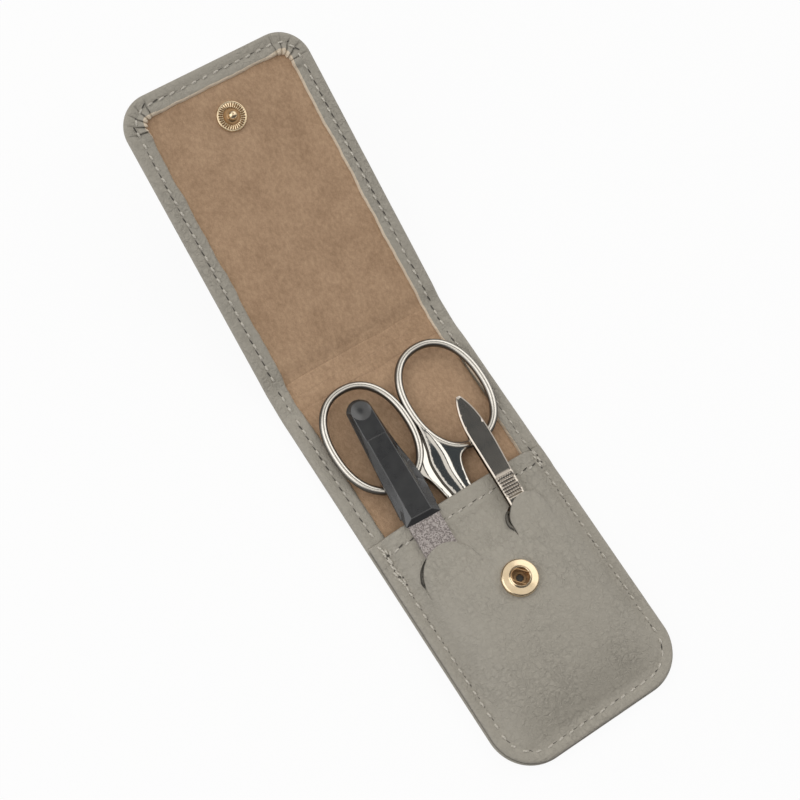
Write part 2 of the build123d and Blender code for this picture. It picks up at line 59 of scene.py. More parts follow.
# %% The bent shape of the case
HALF = 27.5  # half the case's width
FOLD_Y, FOLD_Z = 55.0, 1.2
SPINE = 8.018
MID = SPINE / 2
TURN = 10.2
SOFT = 1.3  # half the length over which the leather bends
BODY_END, FLAP_END = -110.0, SPINE + 83.4
MOUTH = 14.3
BODY_CORNER, FLAP_CORNER = 12.0, 9.0


def ramp(a, b, v):
    """0 before a, 1 after b, smooth between."""
    t = min(1.0, max(0.0, (v - a) / (b - a)))
    return t * t * (3 - 2 * t)


def bend_angle(s):
    """The slope of the lining at s, in radians."""
    first = min(1.0, max(0.0, (s + SOFT) / (2 * SOFT)))
    second = min(1.0, max(0.0, (s - SPINE + SOFT) / (2 * SOFT)))
    return radians(TURN) * (first + second)


line_step = 0.05
line_start = -SOFT - 1
line_points = [(FOLD_Y + line_start, FOLD_Z)]
while len(line_points) * line_step < SPINE + 2 * SOFT + 3:
    y, z = line_points[-1]
    slope = bend_angle(line_start + (len(line_points) - 0.5) * line_step)
    line_points.append((y + line_step * cos(slope), z + line_step * sin(slope)))


def fold_line(s):
    """Where the fold height lies at s: y, z and the slope."""
    slope = bend_angle(s)
    k = (s - line_start) / line_step
    if k <= 0:
        return FOLD_Y + s, FOLD_Z, 0.0
    last = len(line_points) - 1
    if k >= last:
        y, z = line_points[last]
        rest = (k - last) * line_step
        return y + rest * cos(slope), z + rest * sin(slope), slope
    i = int(k)
    (y0, z0), (y1, z1) = line_points[i], line_points[i + 1]
    return y0 + (y1 - y0) * (k - i), z0 + (z1 - z0) * (k - i), slope


def lay(x, s, n):
    """A point of the bent case, in metres."""
    y, z, slope = fold_line(s)
    up = n - FOLD_Z
    return Vector((x, y - up * sin(slope), z + up * cos(slope))) * MM


def thin(s):
    """How far the panel has thinned towards the spine: 0 on a panel, 1 on the spine."""
    return ramp(-5.0, -0.2, s) * (1 - ramp(SPINE + 0.2, SPINE + 5.0, s))


print("flap end at", [round(v, 4) for v in lay(0, FLAP_END, 0)])

# %% [markdown]
# Leather is never quite even. Two helpers give every piece its small irregularities: a smooth
# random height, and a smooth line through a short table of measured values.


# %% Unevenness
def wave(x, y, size, seed=0.0):
    """A smooth random height from about -1 to 1 that changes over size millimetres."""
    return noise.noise(Vector((x / size + seed, y / size - seed, seed * 1.7)))


def curve(table, v):
    """A smooth line through (place, value) pairs in rising order, level beyond its ends."""
    if v <= table[0][0]:
        return table[0][1]
    if v >= table[-1][0]:
        return table[-1][1]
    i = max(k for k in range(len(table) - 1) if table[k][0] <= v)
    (x0, y0), (x1, y1) = table[i], table[i + 1]
    before, after = table[max(i - 1, 0)], table[min(i + 2, len(table) - 1)]
    rise0 = (y1 - before[1]) / (x1 - before[0]) * (x1 - x0)
    rise1 = (after[1] - y0) / (after[0] - x0) * (x1 - x0)
    t = (v - x0) / (x1 - x0)
    first = (2 * t**3 - 3 * t**2 + 1) * y0 + (t**3 - 2 * t**2 + t) * rise0
    return first + (3 * t**2 - 2 * t**3) * y1 + (t**3 - t**2) * rise1


def bell(v, width):
    return exp(-((v / width) ** 2))


print("a wave from", round(wave(0.3, 0.2, 1), 3), "to", round(wave(5.1, 2.2, 1), 3))

# %% [markdown]
# Shader maths reads better as Python expressions than as rows of nodes. A small class wraps an
# output socket, so that a + b or 1 - mask adds the Math nodes by itself, and one method adds any
# other node with its settings and inputs.


# %% A small language for materials
class Wire:
    """An output socket that can be used in expressions."""

    def __init__(self, paint, socket):
        self.paint, self.socket = paint, socket

    def __add__(self, other):
        return self.paint.maths("ADD", self, other)

    def __sub__(self, other):
        return self.paint.maths("SUBTRACT", self, other)

    def __rsub__(self, other):
        return self.paint.maths("SUBTRACT", other, self)

    def __mul__(self, other):
        return self.paint.maths("MULTIPLY", self, other)

    __radd__, __rmul__ = __add__, __mul__

    def __abs__(self):
        return self.paint.maths("ABSOLUTE", self)

    def sine(self):
        return self.paint.maths("SINE", self)

    def between(self, low, high):
        """0 below low, 1 above high, smooth between."""
        settings = {"interpolation_type": "SMOOTHSTEP"}
        return self.paint.add("ShaderNodeMapRange", settings, {0: self, 1: low, 2: high})


class Paint:
    """A node tree under construction: a material, or the world if one is given."""

    def __init__(self, name, world=None):
        self.owner = world or bpy.data.materials.new(name)
        self.owner.use_nodes = True
        self.tree = self.owner.node_tree
        self.tree.nodes.clear()
        if not world:
            self.surface = self.tree.nodes.new("ShaderNodeBsdfPrincipled")
            self.output = self.tree.nodes.new("ShaderNodeOutputMaterial")
            self.tree.links.new(self.surface.outputs[0], self.output.inputs[0])

    def feed(self, socket, value):
        if isinstance(value, Wire):
            self.tree.links.new(value.socket, socket)
        else:
            socket.default_value = value

    def add(self, kind, settings=None, inputs=None, output=0):
        node = self.tree.nodes.new(kind)
        for key, value in (settings or {}).items():
            setattr(node, key, value)
        for key, value in (inputs or {}).items():
            self.feed(node.inputs[key], value)
        return Wire(self, node.outputs[output])

    def maths(self, operation, *values):
        return self.add("ShaderNodeMath", {"operation": operation}, dict(enumerate(values)))

    def place(self, attribute=None, scale=1.0, turn=0.0):
        """Coordinates in millimetres: from the object, or from a named attribute."""
        if attribute:
            spot = self.add("ShaderNodeAttribute", {"attribute_name": attribute}, output="Vector")
        else:
            spot = self.add("ShaderNodeTexCoord", output="Object")
        size = scale if isinstance(scale, tuple) else (scale, scale, scale)
        inputs = {0: spot, 2: (0, 0, turn), 3: tuple(v / MM for v in size)}
        return self.add("ShaderNodeMapping", None, inputs)

    def cloud(self, spot, scale, detail=2.0, rough=0.5, output=0):
        inputs = {"Vector": spot, "Scale": scale, "Detail": detail, "Roughness": rough}
        return self.add("ShaderNodeTexNoise", None, inputs, output)

    def warp(self, spot, scale, amount):
        """The same coordinates, pushed about by a cloud."""
        push = self.cloud(spot, scale, output="Color")
        inputs = {0: push, 1: (amount, amount, amount), 2: spot}
        return self.add("ShaderNodeVectorMath", {"operation": "MULTIPLY_ADD"}, inputs)

    def cells(self, spot, scale, feature="F1", output="Distance", **more):
        inputs = {"Vector": spot, "Scale": scale, **more}
        return self.add("ShaderNodeTexVoronoi", {"feature": feature}, inputs, output)

    def mix(self, factor, a, b):
        """A blend of two colours."""
        return self.add(
            "ShaderNodeMix", {"data_type": "RGBA"}, {0: factor, 6: a, 7: b}, 2
        )

    def bump(self, height, depth, strength=1.0, normal=None):
        """A bump whose height of 1 is depth millimetres."""
        inputs = {"Height": height, "Distance": depth * MM, "Strength": strength}
        if normal:
            inputs["Normal"] = normal
        return self.add("ShaderNodeBump", None, inputs)

    def set(self, **sockets):
        for key, value in sockets.items():
            self.feed(self.surface.inputs[key.replace("_", " ")], value)
        return self.owner


print("material helpers ready")


# %% [markdown]
# The leather is a soft warm grey calf. Its grain is a net of shallow creases round pebbles one
# to two millimetres wide, strong in some patches and nearly gone in others. Voronoi cells on
# pushed-about coordinates give the net, a thin line of a cloud gives longer wrinkles, and a broad
# cloud lets both come and go. The pattern reads the flat coordinates that each leather piece
# carries, so it never slides.

# %% Leather
def grey(value):
    return (value * 1.08, value, value * 0.845, 1)


def make_leather(name="grained_leather"):
    p = Paint(name)
    spot = p.place("flat")
    pushed = p.warp(spot, 1.1, 0.75)
    broad = p.cloud(spot, 0.06, 3)
    dents = p.cloud(spot, 0.30, 2)
    pebble = p.cells(pushed, 0.60, "DISTANCE_TO_EDGE", Randomness=1.0)
    small = p.cells(p.warp(spot, 2.2, 0.35), 1.35, "DISTANCE_TO_EDGE", Randomness=1.0)
    long_line = p.cloud(p.place("flat", (1.0, 0.5, 1.0), 0.7), 0.40, 4, 0.6)
    pores = p.cloud(spot, 5.0, 3, 0.65)
    crease = 1 - pebble.between(0.0, 0.30)
    little = 1 - small.between(0.0, 0.30)
    wrinkle = 1 - abs(long_line - 0.5).between(0.0, 0.045)
    presence = 0.45 + 0.45 * broad.between(0.40, 0.62)
    height = dents * 1.1 - crease * presence * 0.75 - wrinkle * presence * 0.45
    height = height - little * 0.30 + pores * 0.10
    tone = broad * 0.5 + dents * 0.5
    colour = p.mix(tone, grey(0.350), grey(0.392))
    dark = crease * presence * 0.20 + wrinkle * presence * 0.20 + little * 0.06
    colour = p.mix(dark, colour, grey(0.22))
    # painted shade: the fold attribute darkens the inside of sharp folds, the seam under the pocket,
    # the slits' cut edges and the leather down the snap's bore; a raw edge shows the pale flesh of the hide
    fold = p.add("ShaderNodeAttribute", {"attribute_name": "fold"}, output="Fac")
    raw = p.add("ShaderNodeAttribute", {"attribute_name": "raw"}, output="Fac")
    flesh = p.mix(pores * 0.5 + dents * 0.5, (0.60, 0.49, 0.36, 1), (0.88, 0.77, 0.62, 1))
    edge = (raw + pores * 0.3).between(0.50, 0.80)
    colour = p.mix(edge, colour, flesh)
    colour = p.mix(fold * 0.8, colour, (0.045, 0.040, 0.032, 1))
    rough = 0.40 + 0.12 * pores + 0.10 * crease + 0.35 * edge
    return p.set(
        Base_Color=colour,
        Roughness=rough,
        Normal=p.bump(height, 0.15, 0.9),
        Specular_IOR_Level=0.42,
    )


def make_cut_edge():
    p = Paint("cut_edge")
    spot = p.place("flat")
    fibre = p.cloud(spot, 3.5, 4, 0.7)
    patch = p.cloud(spot, 0.7, 3)
    colour = p.mix(fibre * 0.6 + patch * 0.4, (0.34, 0.29, 0.22, 1), (0.56, 0.49, 0.38, 1))
    return p.set(Base_Color=colour, Roughness=0.85, Normal=p.bump(fibre, 0.15, 0.7))


leather = make_leather()
cut_edge = make_cut_edge()
print("leather:", len(leather.node_tree.nodes), "nodes")


# %% [markdown]
# The lining is tan suede. Suede has no grain: it is a brushed nap whose tone changes in soft
# patches where it was stroked. So the colour carries broad clouds and streaks, the bump is only
# fine fibre, and a little sheen lifts the edges.

# %% Suede
def make_suede():
    p = Paint("suede")
    spot = p.place("flat")
    broad = p.cloud(spot, 0.055, 4, 0.6)
    patch = p.cloud(p.warp(spot, 0.12, 4.0), 0.24, 5, 0.65)
    nap = p.cloud(p.place("flat", (1.0, 0.6, 1.0), 0.5), 1.15, 5, 0.75)
    fibre = p.cloud(p.place("flat", (1.0, 0.5, 1.0), -0.4), 5.0, 4, 0.75)
    tone = broad.between(0.30, 0.70) * 0.17 + patch.between(0.28, 0.72) * 0.20
    tone = tone + nap.between(0.30, 0.70) * 0.33 + fibre.between(0.25, 0.75) * 0.30
    colour = p.mix(tone, (0.270, 0.165, 0.094, 1), (0.640, 0.438, 0.284, 1))
    height = patch * 0.4 + nap * 0.5 + fibre * 0.5
    return p.set(
        Base_Color=colour,
        Roughness=0.88,
        Normal=p.bump(height, 0.22, 0.9),
        Specular_IOR_Level=0.2,
        Sheen_Weight=0.10,
        Sheen_Roughness=0.5,
    )


suede = make_suede()
print("suede:", len(suede.node_tree.nodes), "nodes")


# %% [markdown]
# Thread is two plies twisted together. Each stitch is a small mesh that carries its own
# coordinates, turns about the thread and distance along it, and a slanted wave on those makes
# the plies.

# %% Thread
def make_thread():
    p = Paint("thread")
    spot = p.add("ShaderNodeAttribute", {"attribute_name": "twist"}, output="Vector")
    around = p.add("ShaderNodeSeparateXYZ", None, {0: spot}, "X")
    along = Wire(p, around.socket.node.outputs["Y"])
    ply = (around * 2 + along * 9.0).sine() * 0.5 + 0.5
    fuzz = p.cloud(p.place("flat"), 8.0, 3, 0.7)
    colour = p.mix(ply * 0.5 + fuzz * 0.5, (0.46, 0.425, 0.36, 1), (0.80, 0.76, 0.68, 1))
    return p.set(Base_Color=colour, Roughness=0.65, Normal=p.bump(ply + fuzz * 0.4, 0.06, 0.8))


def make_hole_painted_shade():
    # painted shade: a dark patch on the leather where the thread sinks into its hole
    p = Paint("hole_painted_shade")
    fuzz = p.cloud(p.place("flat"), 6.0, 2)
    colour = p.mix(fuzz, (0.045, 0.040, 0.034, 1), (0.12, 0.11, 0.095, 1))
    return p.set(Base_Color=colour, Roughness=0.9)


thread = make_thread()
hole_painted_shade = make_hole_painted_shade()
print("thread ready")


# %% [markdown]
# The metals. The scissors are nickel plated and nearly mirrors. The snap is thin pressed brass,
# pale as gold. The tweezers are ground steel with fine lines along them, and the file's blade is
# bonded with a fine sparkling grit.

# %% Metals and plastic
def make_nickel():
    p = Paint("nickel")
    smudge = p.cloud(p.place(), 0.16, 3)
    lines = p.cloud(p.place(None, (1.0, 0.12, 1.0)), 6.0, 3, 0.6)
    colour = p.mix(smudge, (0.68, 0.645, 0.58, 1), (0.77, 0.73, 0.665, 1))
    # painted dark reflection: the steep sides of the wire are darkened, and made a little duller
    side = p.add("ShaderNodeAttribute", {"attribute_name": "side"}, output="Fac")
    colour = p.mix(side * 0.86, colour, (0.085, 0.078, 0.068, 1))
    wire = p.add("ShaderNodeAttribute", {"attribute_name": "wire"}, output="Fac")
    rough = 0.07 + 0.04 * smudge + 0.04 * lines + 0.10 * side + 0.13 * wire
    return p.set(
        Base_Color=colour, Metallic=1.0, Roughness=rough, Normal=p.bump(lines, 0.008, 0.2)
    )


def make_brass():
    p = Paint("snap_brass")
    smudge = p.cloud(p.place(), 0.5, 3)
    speck = p.cloud(p.place(), 5.0, 3, 0.6)
    colour = p.mix(smudge, (0.70, 0.54, 0.34, 1), (0.86, 0.71, 0.50, 1))
    rough = 0.12 + 0.12 * smudge + 0.06 * speck
    return p.set(
        Base_Color=colour, Metallic=1.0, Roughness=rough, Normal=p.bump(speck, 0.010, 0.3)
    )


# painted shade: a darker copy of the snap's brass for its recesses
def make_brass_painted_shade():
    p = Paint("shaded_brass")
    smudge = p.cloud(p.place(), 0.9, 3)
    colour = p.mix(smudge, (0.30, 0.17, 0.08, 1), (0.50, 0.33, 0.18, 1))
    return p.set(Base_Color=colour, Metallic=1.0, Roughness=0.25 + 0.2 * smudge)


def make_steel():
    p = Paint("ground_steel")
    lines = p.cloud(p.place(None, (1.0, 0.05, 1.0), -0.07), 7.0, 3, 0.65)
    smudge = p.cloud(p.place(), 0.25, 3)
    colour = p.mix(smudge * 0.5 + lines * 0.5, (0.50, 0.445, 0.385, 1), (0.66, 0.60, 0.52, 1))
    return p.set(
        Base_Color=colour, Metallic=1.0, Roughness=0.13 + 0.08 * lines,
        Normal=p.bump(lines, 0.006, 0.3),
    )


def make_grit():
    p = Paint("bonded_grit")
    spot = p.place()
    grain = p.cells(spot, 3.4, "F1", "Distance")
    shade = p.cells(spot, 3.4, "F1", "Color")
    light = p.add("ShaderNodeSeparateXYZ", None, {0: shade}, "X")
    fine = p.cloud(spot, 7.0, 3, 0.7)
    colour = p.mix(light.between(0.15, 0.85), (0.175, 0.150, 0.143, 1), (0.52, 0.47, 0.445, 1))
    colour = p.mix(fine * 0.4, colour, (0.30, 0.262, 0.245, 1))
    height = (1 - grain) * 0.8 + fine * 0.3
    return p.set(
        Base_Color=colour, Metallic=0.25, Roughness=0.40 + 0.3 * fine,
        Normal=p.bump(height, 0.08, 0.8),
    )


def make_black_plastic():
    p = Paint("black_plastic")
    haze = p.cloud(p.place(), 0.3, 3)
    fine = p.cloud(p.place(), 6.0, 3, 0.6)
    colour = p.mix(haze, (0.021, 0.021, 0.022, 1), (0.037, 0.037, 0.037, 1))
    return p.set(
        Base_Color=colour, Roughness=0.17 + 0.10 * haze + 0.04 * fine,
        Normal=p.bump(fine, 0.010, 0.4), Specular_IOR_Level=0.95,
    )


def make_board():
    p = Paint("board")
    pulp = p.cloud(p.place(), 1.2, 4)
    colour = p.mix(pulp, (0.30, 0.26, 0.20, 1), (0.42, 0.38, 0.31, 1))
    return p.set(Base_Color=colour, Roughness=0.9, Normal=p.bump(pulp, 0.05, 0.5))


nickel = make_nickel()
brass = make_brass()
brass_painted_shade = make_brass_painted_shade()
steel = make_steel()
grit = make_grit()
black_plastic = make_black_plastic()
board = make_board()
print("metals ready")


# %% [markdown]
# Every new piece ends the same way: the bmesh becomes an object, gets its materials and its
# body, and says how many faces it has.

# %% Turn a bmesh into a piece
def finish_piece(
    name, bm, materials, slot=None, body=None, replaces=(), smooth=True, flat_from=1.0
):
    """Makes the object. Layers on the bmesh become attributes of the mesh.

    Faces of more than flat_from square metres are shaded flat, which keeps a large plain face
    plain beside its rounded edges.
    """
    mesh = bpy.data.meshes.new(name)
    bm.to_mesh(mesh)
    bm.free()
    for face in mesh.polygons:
        face.use_smooth = smooth and face.area < flat_from
    piece = bpy.data.objects.new(name, mesh)
    bpy.context.scene.collection.objects.link(piece)
    for material in materials:
        mesh.materials.append(material)
    if body:
        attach(piece, body)
    if replaces:
        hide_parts(*replaces)
    print(name, len(mesh.polygons), "faces")
    return piece


# %% [markdown]
# The leather of each panel is one skin: it covers the back, turns round the edge and lies on the
# lining as a band that ends in a raw, pale edge. The outline is drawn once as a line of stations,
# then extruded ring by ring through the section of the edge.

# %% Outline of a panel
def outline(start, end, corner, step, corner_step=0.6):
    """Stations round a panel, left to right: x, s and the inward direction."""
    way = 1 if end > start else -1
    straight = abs(end - start) - corner
    count = max(2, round(straight / step))
    left = [(-HALF, start + way * straight * i / count, 1.0, 0.0) for i in range(count)]
    turns = max(8, round(corner * pi / 2 / corner_step))
    for i in range(turns):
        a = pi / 2 * i / turns
        centre_x, centre_s = -HALF + corner, end - way * corner
        left.append((centre_x - corner * cos(a), centre_s + way * corner * sin(a),
                     cos(a), -way * sin(a)))
    across = 2 * (HALF - corner)
    count = round(across / step)
    middle = [(-across / 2 + across * i / count, end, 0.0, -way) for i in range(count + 1)]
    right = [(-x, s, -nx, ns) for x, s, nx, ns in reversed(left)]
    return left + middle + right


BAND = 5.9
EDGE_SECTION = (
    # distance in from the outline, share of the height of the band
    (0.9, 0.0), (0.35, 0.03), (0.1, 0.13), (0.0, 0.32), (0.0, 0.6), (0.08, 0.8),
    (0.3, 0.95), (0.7, 1.02), (1.15, 1.04), (1.6, 1.035), (2.05, 1.02), (2.45, 1.0),
    (2.8, 0.965), (3.1, 0.94), (3.4, 0.95), (3.7, 0.985), (4.0, 1.005), (4.3, 1.02),
    (4.6, 1.025), (4.9, 1.02), (5.15, 1.01), (5.38, 0.99), (5.56, 0.95), (5.72, 0.89),
    (5.84, 0.82), (5.92, 0.74), (5.93, 0.60),
)
print(len(EDGE_SECTION), "points round the edge")

# %% [markdown]
# A flat band turned round a corner has more leather than the inner corner has room for. The
# maker gathers it into pleats: five to seven lobes that lean on each other, parted by sharp
# radial folds, deepest at the raw edge and fading out past the stitches.

# %% Pleats at the flap's corners
PLEATS = (-7, 9, 27, 45, 61, 80, 98)


def pleat(x, s, inset):
    """A corner's pleats: lift, push along the edge and inwards, painted shade in the folds, bare flesh."""
    dx = abs(x) - (HALF - FLAP_CORNER)
    ds = s - (FLAP_END - FLAP_CORNER)
    if ds < -3 or dx < -3:
        return 0.0, 0.0, 0.0, 0.0, 0.0
    side = 1 if x > 0 else -1
    radius = FLAP_CORNER - inset + 1.6
    a = atan2(ds + 1.1, dx + 1.1) * 180 / pi
    near = ramp(-12, 0, a) * (1 - ramp(90, 102, a))
    a += 3.0 * wave(side * 3, inset * 0.5, 1.0, 3.3) + 2.0 * wave(a / 9, side * 7, 1.0, 1.2)
    k = max([i for i in range(len(PLEATS) - 1) if PLEATS[i] <= a], default=0)
    t = min(1.0, max(0.0, (a - PLEATS[k]) / (PLEATS[k + 1] - PLEATS[k])))
    lobe = sin(pi * t**0.75) ** 0.5 if 0 < t < 1 else 0.0
    size = 0.8 + 0.5 * wave(k * 1.7, side * 5, 1.0, 6.1)
    deep = ramp(2.3, 4.6, inset) * near
    outer = bell(inset - 2.0, 1.0) * near
    lift = deep * size * (0.95 * lobe - 0.40) + outer * 0.26 * (lobe - 0.75)
    off = min(t * (PLEATS[k + 1] - PLEATS[k]), (1 - t) * (PLEATS[k + 1] - PLEATS[k]))
    line = bell(off * pi / 180 * radius, 0.19 + 0.08 * deep)
    reach = ramp(0.4, 1.6, inset + 0.9 * wave(k * 2.3, side * 4, 1.0, 2.2))
    fold = line * near * (0.9 * ramp(2.6, 3.6, inset) + 0.55 * reach * (1 - ramp(2.6, 3.6, inset)))
    flesh = near * (0.55 + 0.9 * lobe) * bell(a - 48 - side * 6, 30)
    return lift, deep * 0.30 * lobe * side, deep * (0.45 * lobe - 0.15) * size, fold, flesh


def band_point(x, s, inset, share, nx, ns, flap):
    """A point of the turned leather in flat coordinates, its painted fold shade and its raw edge."""
    creased = bell(s - MID, 6.0)
    rag = (0.26 + 0.12 * flap) * wave(x, s, 9, 3.1) + (0.13 + 0.09 * flap) * wave(x, s, 2.6, 5.3)
    rag += creased * (0.55 * wave(x, s, 3.2, 8.4) - 0.25)
    if x > 0:
        # the leather gives way beside the ring of the scissors
        rag -= 1.9 * ramp(-30, -20, s) * (1 - ramp(-7, -2, s))
    n = (2.6 - 0.6 * thin(s)) * share
    on_top = ramp(0.5, 0.8, share)
    n += on_top * (0.05 * wave(x, s, 5, 1.7) + 0.05 * wave(x, s, 16, 2.9))
    n += on_top * creased * 0.20 * wave(x * 0.4, s, 1.5, 4.1) * ramp(0.2, 1.2, inset)
    lift, slide, push, fold, flesh = pleat(x, s, inset) if flap else (0.0,) * 5
    d = inset + ramp(3.6, BAND, inset) * rag + push
    start = 5.42 + 0.44 * ramp(0.5, 1.0, nx) - 0.22 * flap * ramp(0.5, 1.0, -ns) - 0.75 * flesh
    raw = ramp(start - 0.1, start + 0.14, inset)
    fold = max(fold, 0.0) * on_top * (1 - 0.75 * raw)
    where = (x + nx * d - ns * slide * on_top, s + ns * d + nx * slide * on_top)
    return *where, n + lift * on_top, fold, raw


print("a pleat lifts", round(pleat(24, FLAP_END - 4, 5.5)[0], 2), "mm")


def panel_leather(name, start, end, corner, replaces):
    flap = end > 0
    stations = outline(start, end, corner, 1.0, 0.2 if flap else 0.6)
    bm = bmesh.new()
    flat = bm.verts.layers.float_vector.new("flat")
    painted_shade, raws = bm.verts.layers.float.new("fold"), bm.verts.layers.float.new("raw")
    row = [bm.verts.new((x, s, 0)) for x, s, nx, ns in stations]
    edges = [bm.edges.new(pair) for pair in zip(row, row[1:])]
    rows = [row]
    while len(rows) < len(EDGE_SECTION):
        made = bmesh.ops.extrude_edge_only(bm, edges=edges)["geom"]
        fresh = {v for v in made if isinstance(v, bmesh.types.BMVert)}
        edges = [e for e in made if isinstance(e, bmesh.types.BMEdge) and set(e.verts) <= fresh]
        rows.append(
            [next(e.other_vert(v) for e in v.link_edges if e.other_vert(v) in fresh)
             for v in rows[-1]]
        )
    for row, (inset, share) in zip(rows, EDGE_SECTION):
        for v, (x, s, nx, ns) in zip(row, stations):
            px, ps, n, v[painted_shade], v[raws] = band_point(x, s, inset, share, nx, ns, flap)
            v.co = lay(px, ps, n)
            v[flat] = Vector((x + nx * inset, s + ns * inset + share, share * 0.9)) * MM
            if not flap and s < MOUTH - FOLD_Y - 1:
                # painted shadow: the seam between the pocket and the back gets a dark line
                v[painted_shade] = 0.75 * ramp(0.72, 0.98, share)
    # the underside joins the first row from side to side
    first = rows[0]
    side = sum(1 for x, s, nx, ns in stations if x < 0 and abs(nx) > 1e-6)
    count = len(first)
    for k in range(side - 1):
        bm.faces.new((first[k], first[k + 1], first[count - 2 - k], first[count - 1 - k]))
    bm.faces.new(first[side - 1 : count - side + 1])
    bmesh.ops.recalc_face_normals(bm, faces=bm.faces[:])
    return finish_piece(name, bm, [leather], "leather", None, replaces)


case_skin = panel_leather("case_leather", MID, BODY_END, BODY_CORNER, ("back_leather",))
flap_skin = panel_leather(
    "flap_leather_skin", MID, FLAP_END, FLAP_CORNER, ("flap_leather", "spine_leather")
)


def on_line(s):
    return tuple(lay(0, s, FOLD_Z))


def follow_fold(piece, panel):
    """Bakes a case or flap piece's placement into its mesh; the fold line's points go unused."""
    if panel == "case":
        on_line(-SOFT)
        on_line(SOFT)
        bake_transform(piece)
    else:
        on_line(SPINE - SOFT)
        on_line(SPINE + SOFT)
        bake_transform(piece)


follow_fold(case_skin, "case")
follow_fold(flap_skin, "flap")

# %% [markdown]
# Each panel is stiffened by a thin board between leather and lining. It stops short of the fold,
# so that the leather can bend there. It can't be seen, but it is there when the case is cut open.


# %% Boards
def panel_board(name, start, end, corner, body, replaces):
    stations = outline(start, end, corner, 4.0, 1.5)
    bm = bmesh.new()
    row = [bm.verts.new((x + nx * 1.0, s + ns * 1.0, 0)) for x, s, nx, ns in stations]
    sheet = bm.faces.new(row)
    made = bmesh.ops.extrude_face_region(bm, geom=[sheet])["geom"]
    top = {v for v in made if isinstance(v, bmesh.types.BMVert)}
    for v in bm.verts:
        v.co = lay(v.co.x, v.co.y, 1.36 if v in top else 0.84)
    bmesh.ops.recalc_face_normals(bm, faces=bm.faces[:])
    return finish_piece(name, bm, [board], "board", body, replaces, smooth=False)


panel_board("case_board", -2.8, BODY_END, BODY_CORNER, "case", ("back_board",))
panel_board("flap_board_card", SPINE + 2.8, FLAP_END, FLAP_CORNER, "flap", ("flap_board",))

# %% [markdown]
# The lining is a thin sheet under the bands. It keeps two fine creases at the fold lines, and
# between them runs a set of small broken wrinkles from being folded often. The rows of the grid
# stand close together there and wide apart on the flat.


# %% Lining
def lining_height(x, s):
    n = 1.8 - 0.6 * thin(s) + 0.08 * wave(x, s, 15, 2.2) + 0.03 * wave(x, s, 4, 9.1)
    for line in (0.0, SPINE):
        off = s - line + 0.35 * wave(x, line, 7, line)
        n -= 0.09 * bell(off, 0.24) - 0.03 * bell(abs(off) - 0.9, 0.6)
    for k, place in enumerate((-1.9, -0.9, 1.1, 2.2, 3.3, 4.6, 5.9, 7.0, 9.1, 10.2)):
        off = s - place + 0.7 * wave(x, k * 9.0, 9, 4.4)
        n -= 0.05 * bell(off, 0.30) * ramp(0.0, 0.4, wave(x, k * 5.0, 8, 8.8))
    return n


def lining_rows(start, end):
    """Places of the grid's rows from start to end, close together at the spine."""
    way = 1 if end > start else -1
    rows, s = [start], start
    while abs(end - s) > 0.9:
        near = ramp(-5.0, -3.0, s) * (1 - ramp(SPINE + 3.0, SPINE + 5.0, s))
        s += way * (0.8 - 0.66 * near)
        rows.append(s)
    return rows + [end]


def lining_sheet(name, start, end, replaces):
    rows = lining_rows(start, end)
    bm = bmesh.new()
    flat = bm.verts.layers.float_vector.new("flat")
    half = HALF - 4.6
    bmesh.ops.create_grid(bm, x_segments=60, y_segments=len(rows) - 1, size=1)
    for v in bm.verts:
        x = v.co.x * half
        s = rows[round((v.co.y + 1) / 2 * (len(rows) - 1))]
        v.co = lay(x, s, lining_height(x, s))
        v[flat] = Vector((x, s, 0)) * MM
    if end < start:
        bmesh.ops.reverse_faces(bm, faces=bm.faces[:])
    piece = finish_piece(name, bm, [suede], "lining", None, replaces)
    wall = piece.modifiers.new("thickness", "SOLIDIFY")
    wall.thickness = 0.35 * MM
    wall.offset = -1
    return piece


case_lining = lining_sheet("case_lining", MID, BODY_END + 5, ("back_lining",))
flap_lining = lining_sheet(
    "flap_lining_sheet", MID, FLAP_END - 4.6, ("flap_lining", "spine_lining")
)
follow_fold(case_lining, "case")
follow_fold(flap_lining, "flap")

# %% [markdown]
# The pocket front is one sheet of leather with a turned hem and two arched slits. Inside each
# arch a tongue of leather rides over a tool. A triangulation that keeps chosen edges is the
# direct way to such a sheet: the arches go in as edges and are then split open.

# %% Heights of the pocket front
SNAP = (0.0, -13.3)
SEAT = 10.25
RIM = 3.5
LEAN = radians(1.2)  # the tools lean on the mouth
CREST = (
    (-50.0, RIM), (-47.1, 5.0), (-41.9, 7.4), (-36.0, 9.0), (-28.0, 10.1), (-20.0, 10.5),
    (-13.3, 10.35), (-9.0, 9.9), (-4.6, 8.9), (0.0, 7.5), (4.0, 6.4), (9.0, 6.2), (14.3, 6.2),
)
TONGUES = {
    # centre line's x at y = 0, its slant, radius of the arch, half width over the tool on the
    # left and on the right, height over the tools' middle plane
    "file": (-12.75, 0.0507, 8.0, 5.0, 4.2, 4.35),
    "tweezers": (12.6, 0.0699, 5.8, 3.3, 3.3, 6.25),
}
ARCH_Y = 4.9
SLIT_GAP = {"file": 0.75, "tweezers": 1.0}


def crown(x, y):
    """The bulged surface, without the tongues."""
    t = min(1.0, abs(x) / 23.2)
    top = curve(CREST, y)
    flat_top = (1 - t**9) ** 0.95
    domed = (1 - t**4.4) ** 1.1
    mouth = ramp(-7.0, 5.0, y)
    return RIM + (top - RIM) * (domed + (flat_top - domed) * mouth)


def tongue_offset(name, x, y):
    return x - (TONGUES[name][0] + TONGUES[name][1] * y)


def under_arch(name, x, y):
    """True inside an arch and between its legs."""
    radius = TONGUES[name][2]
    dy = max(0.0, y - (ARCH_Y - radius))
    return tongue_offset(name, x, y) ** 2 + dy * dy < radius * radius


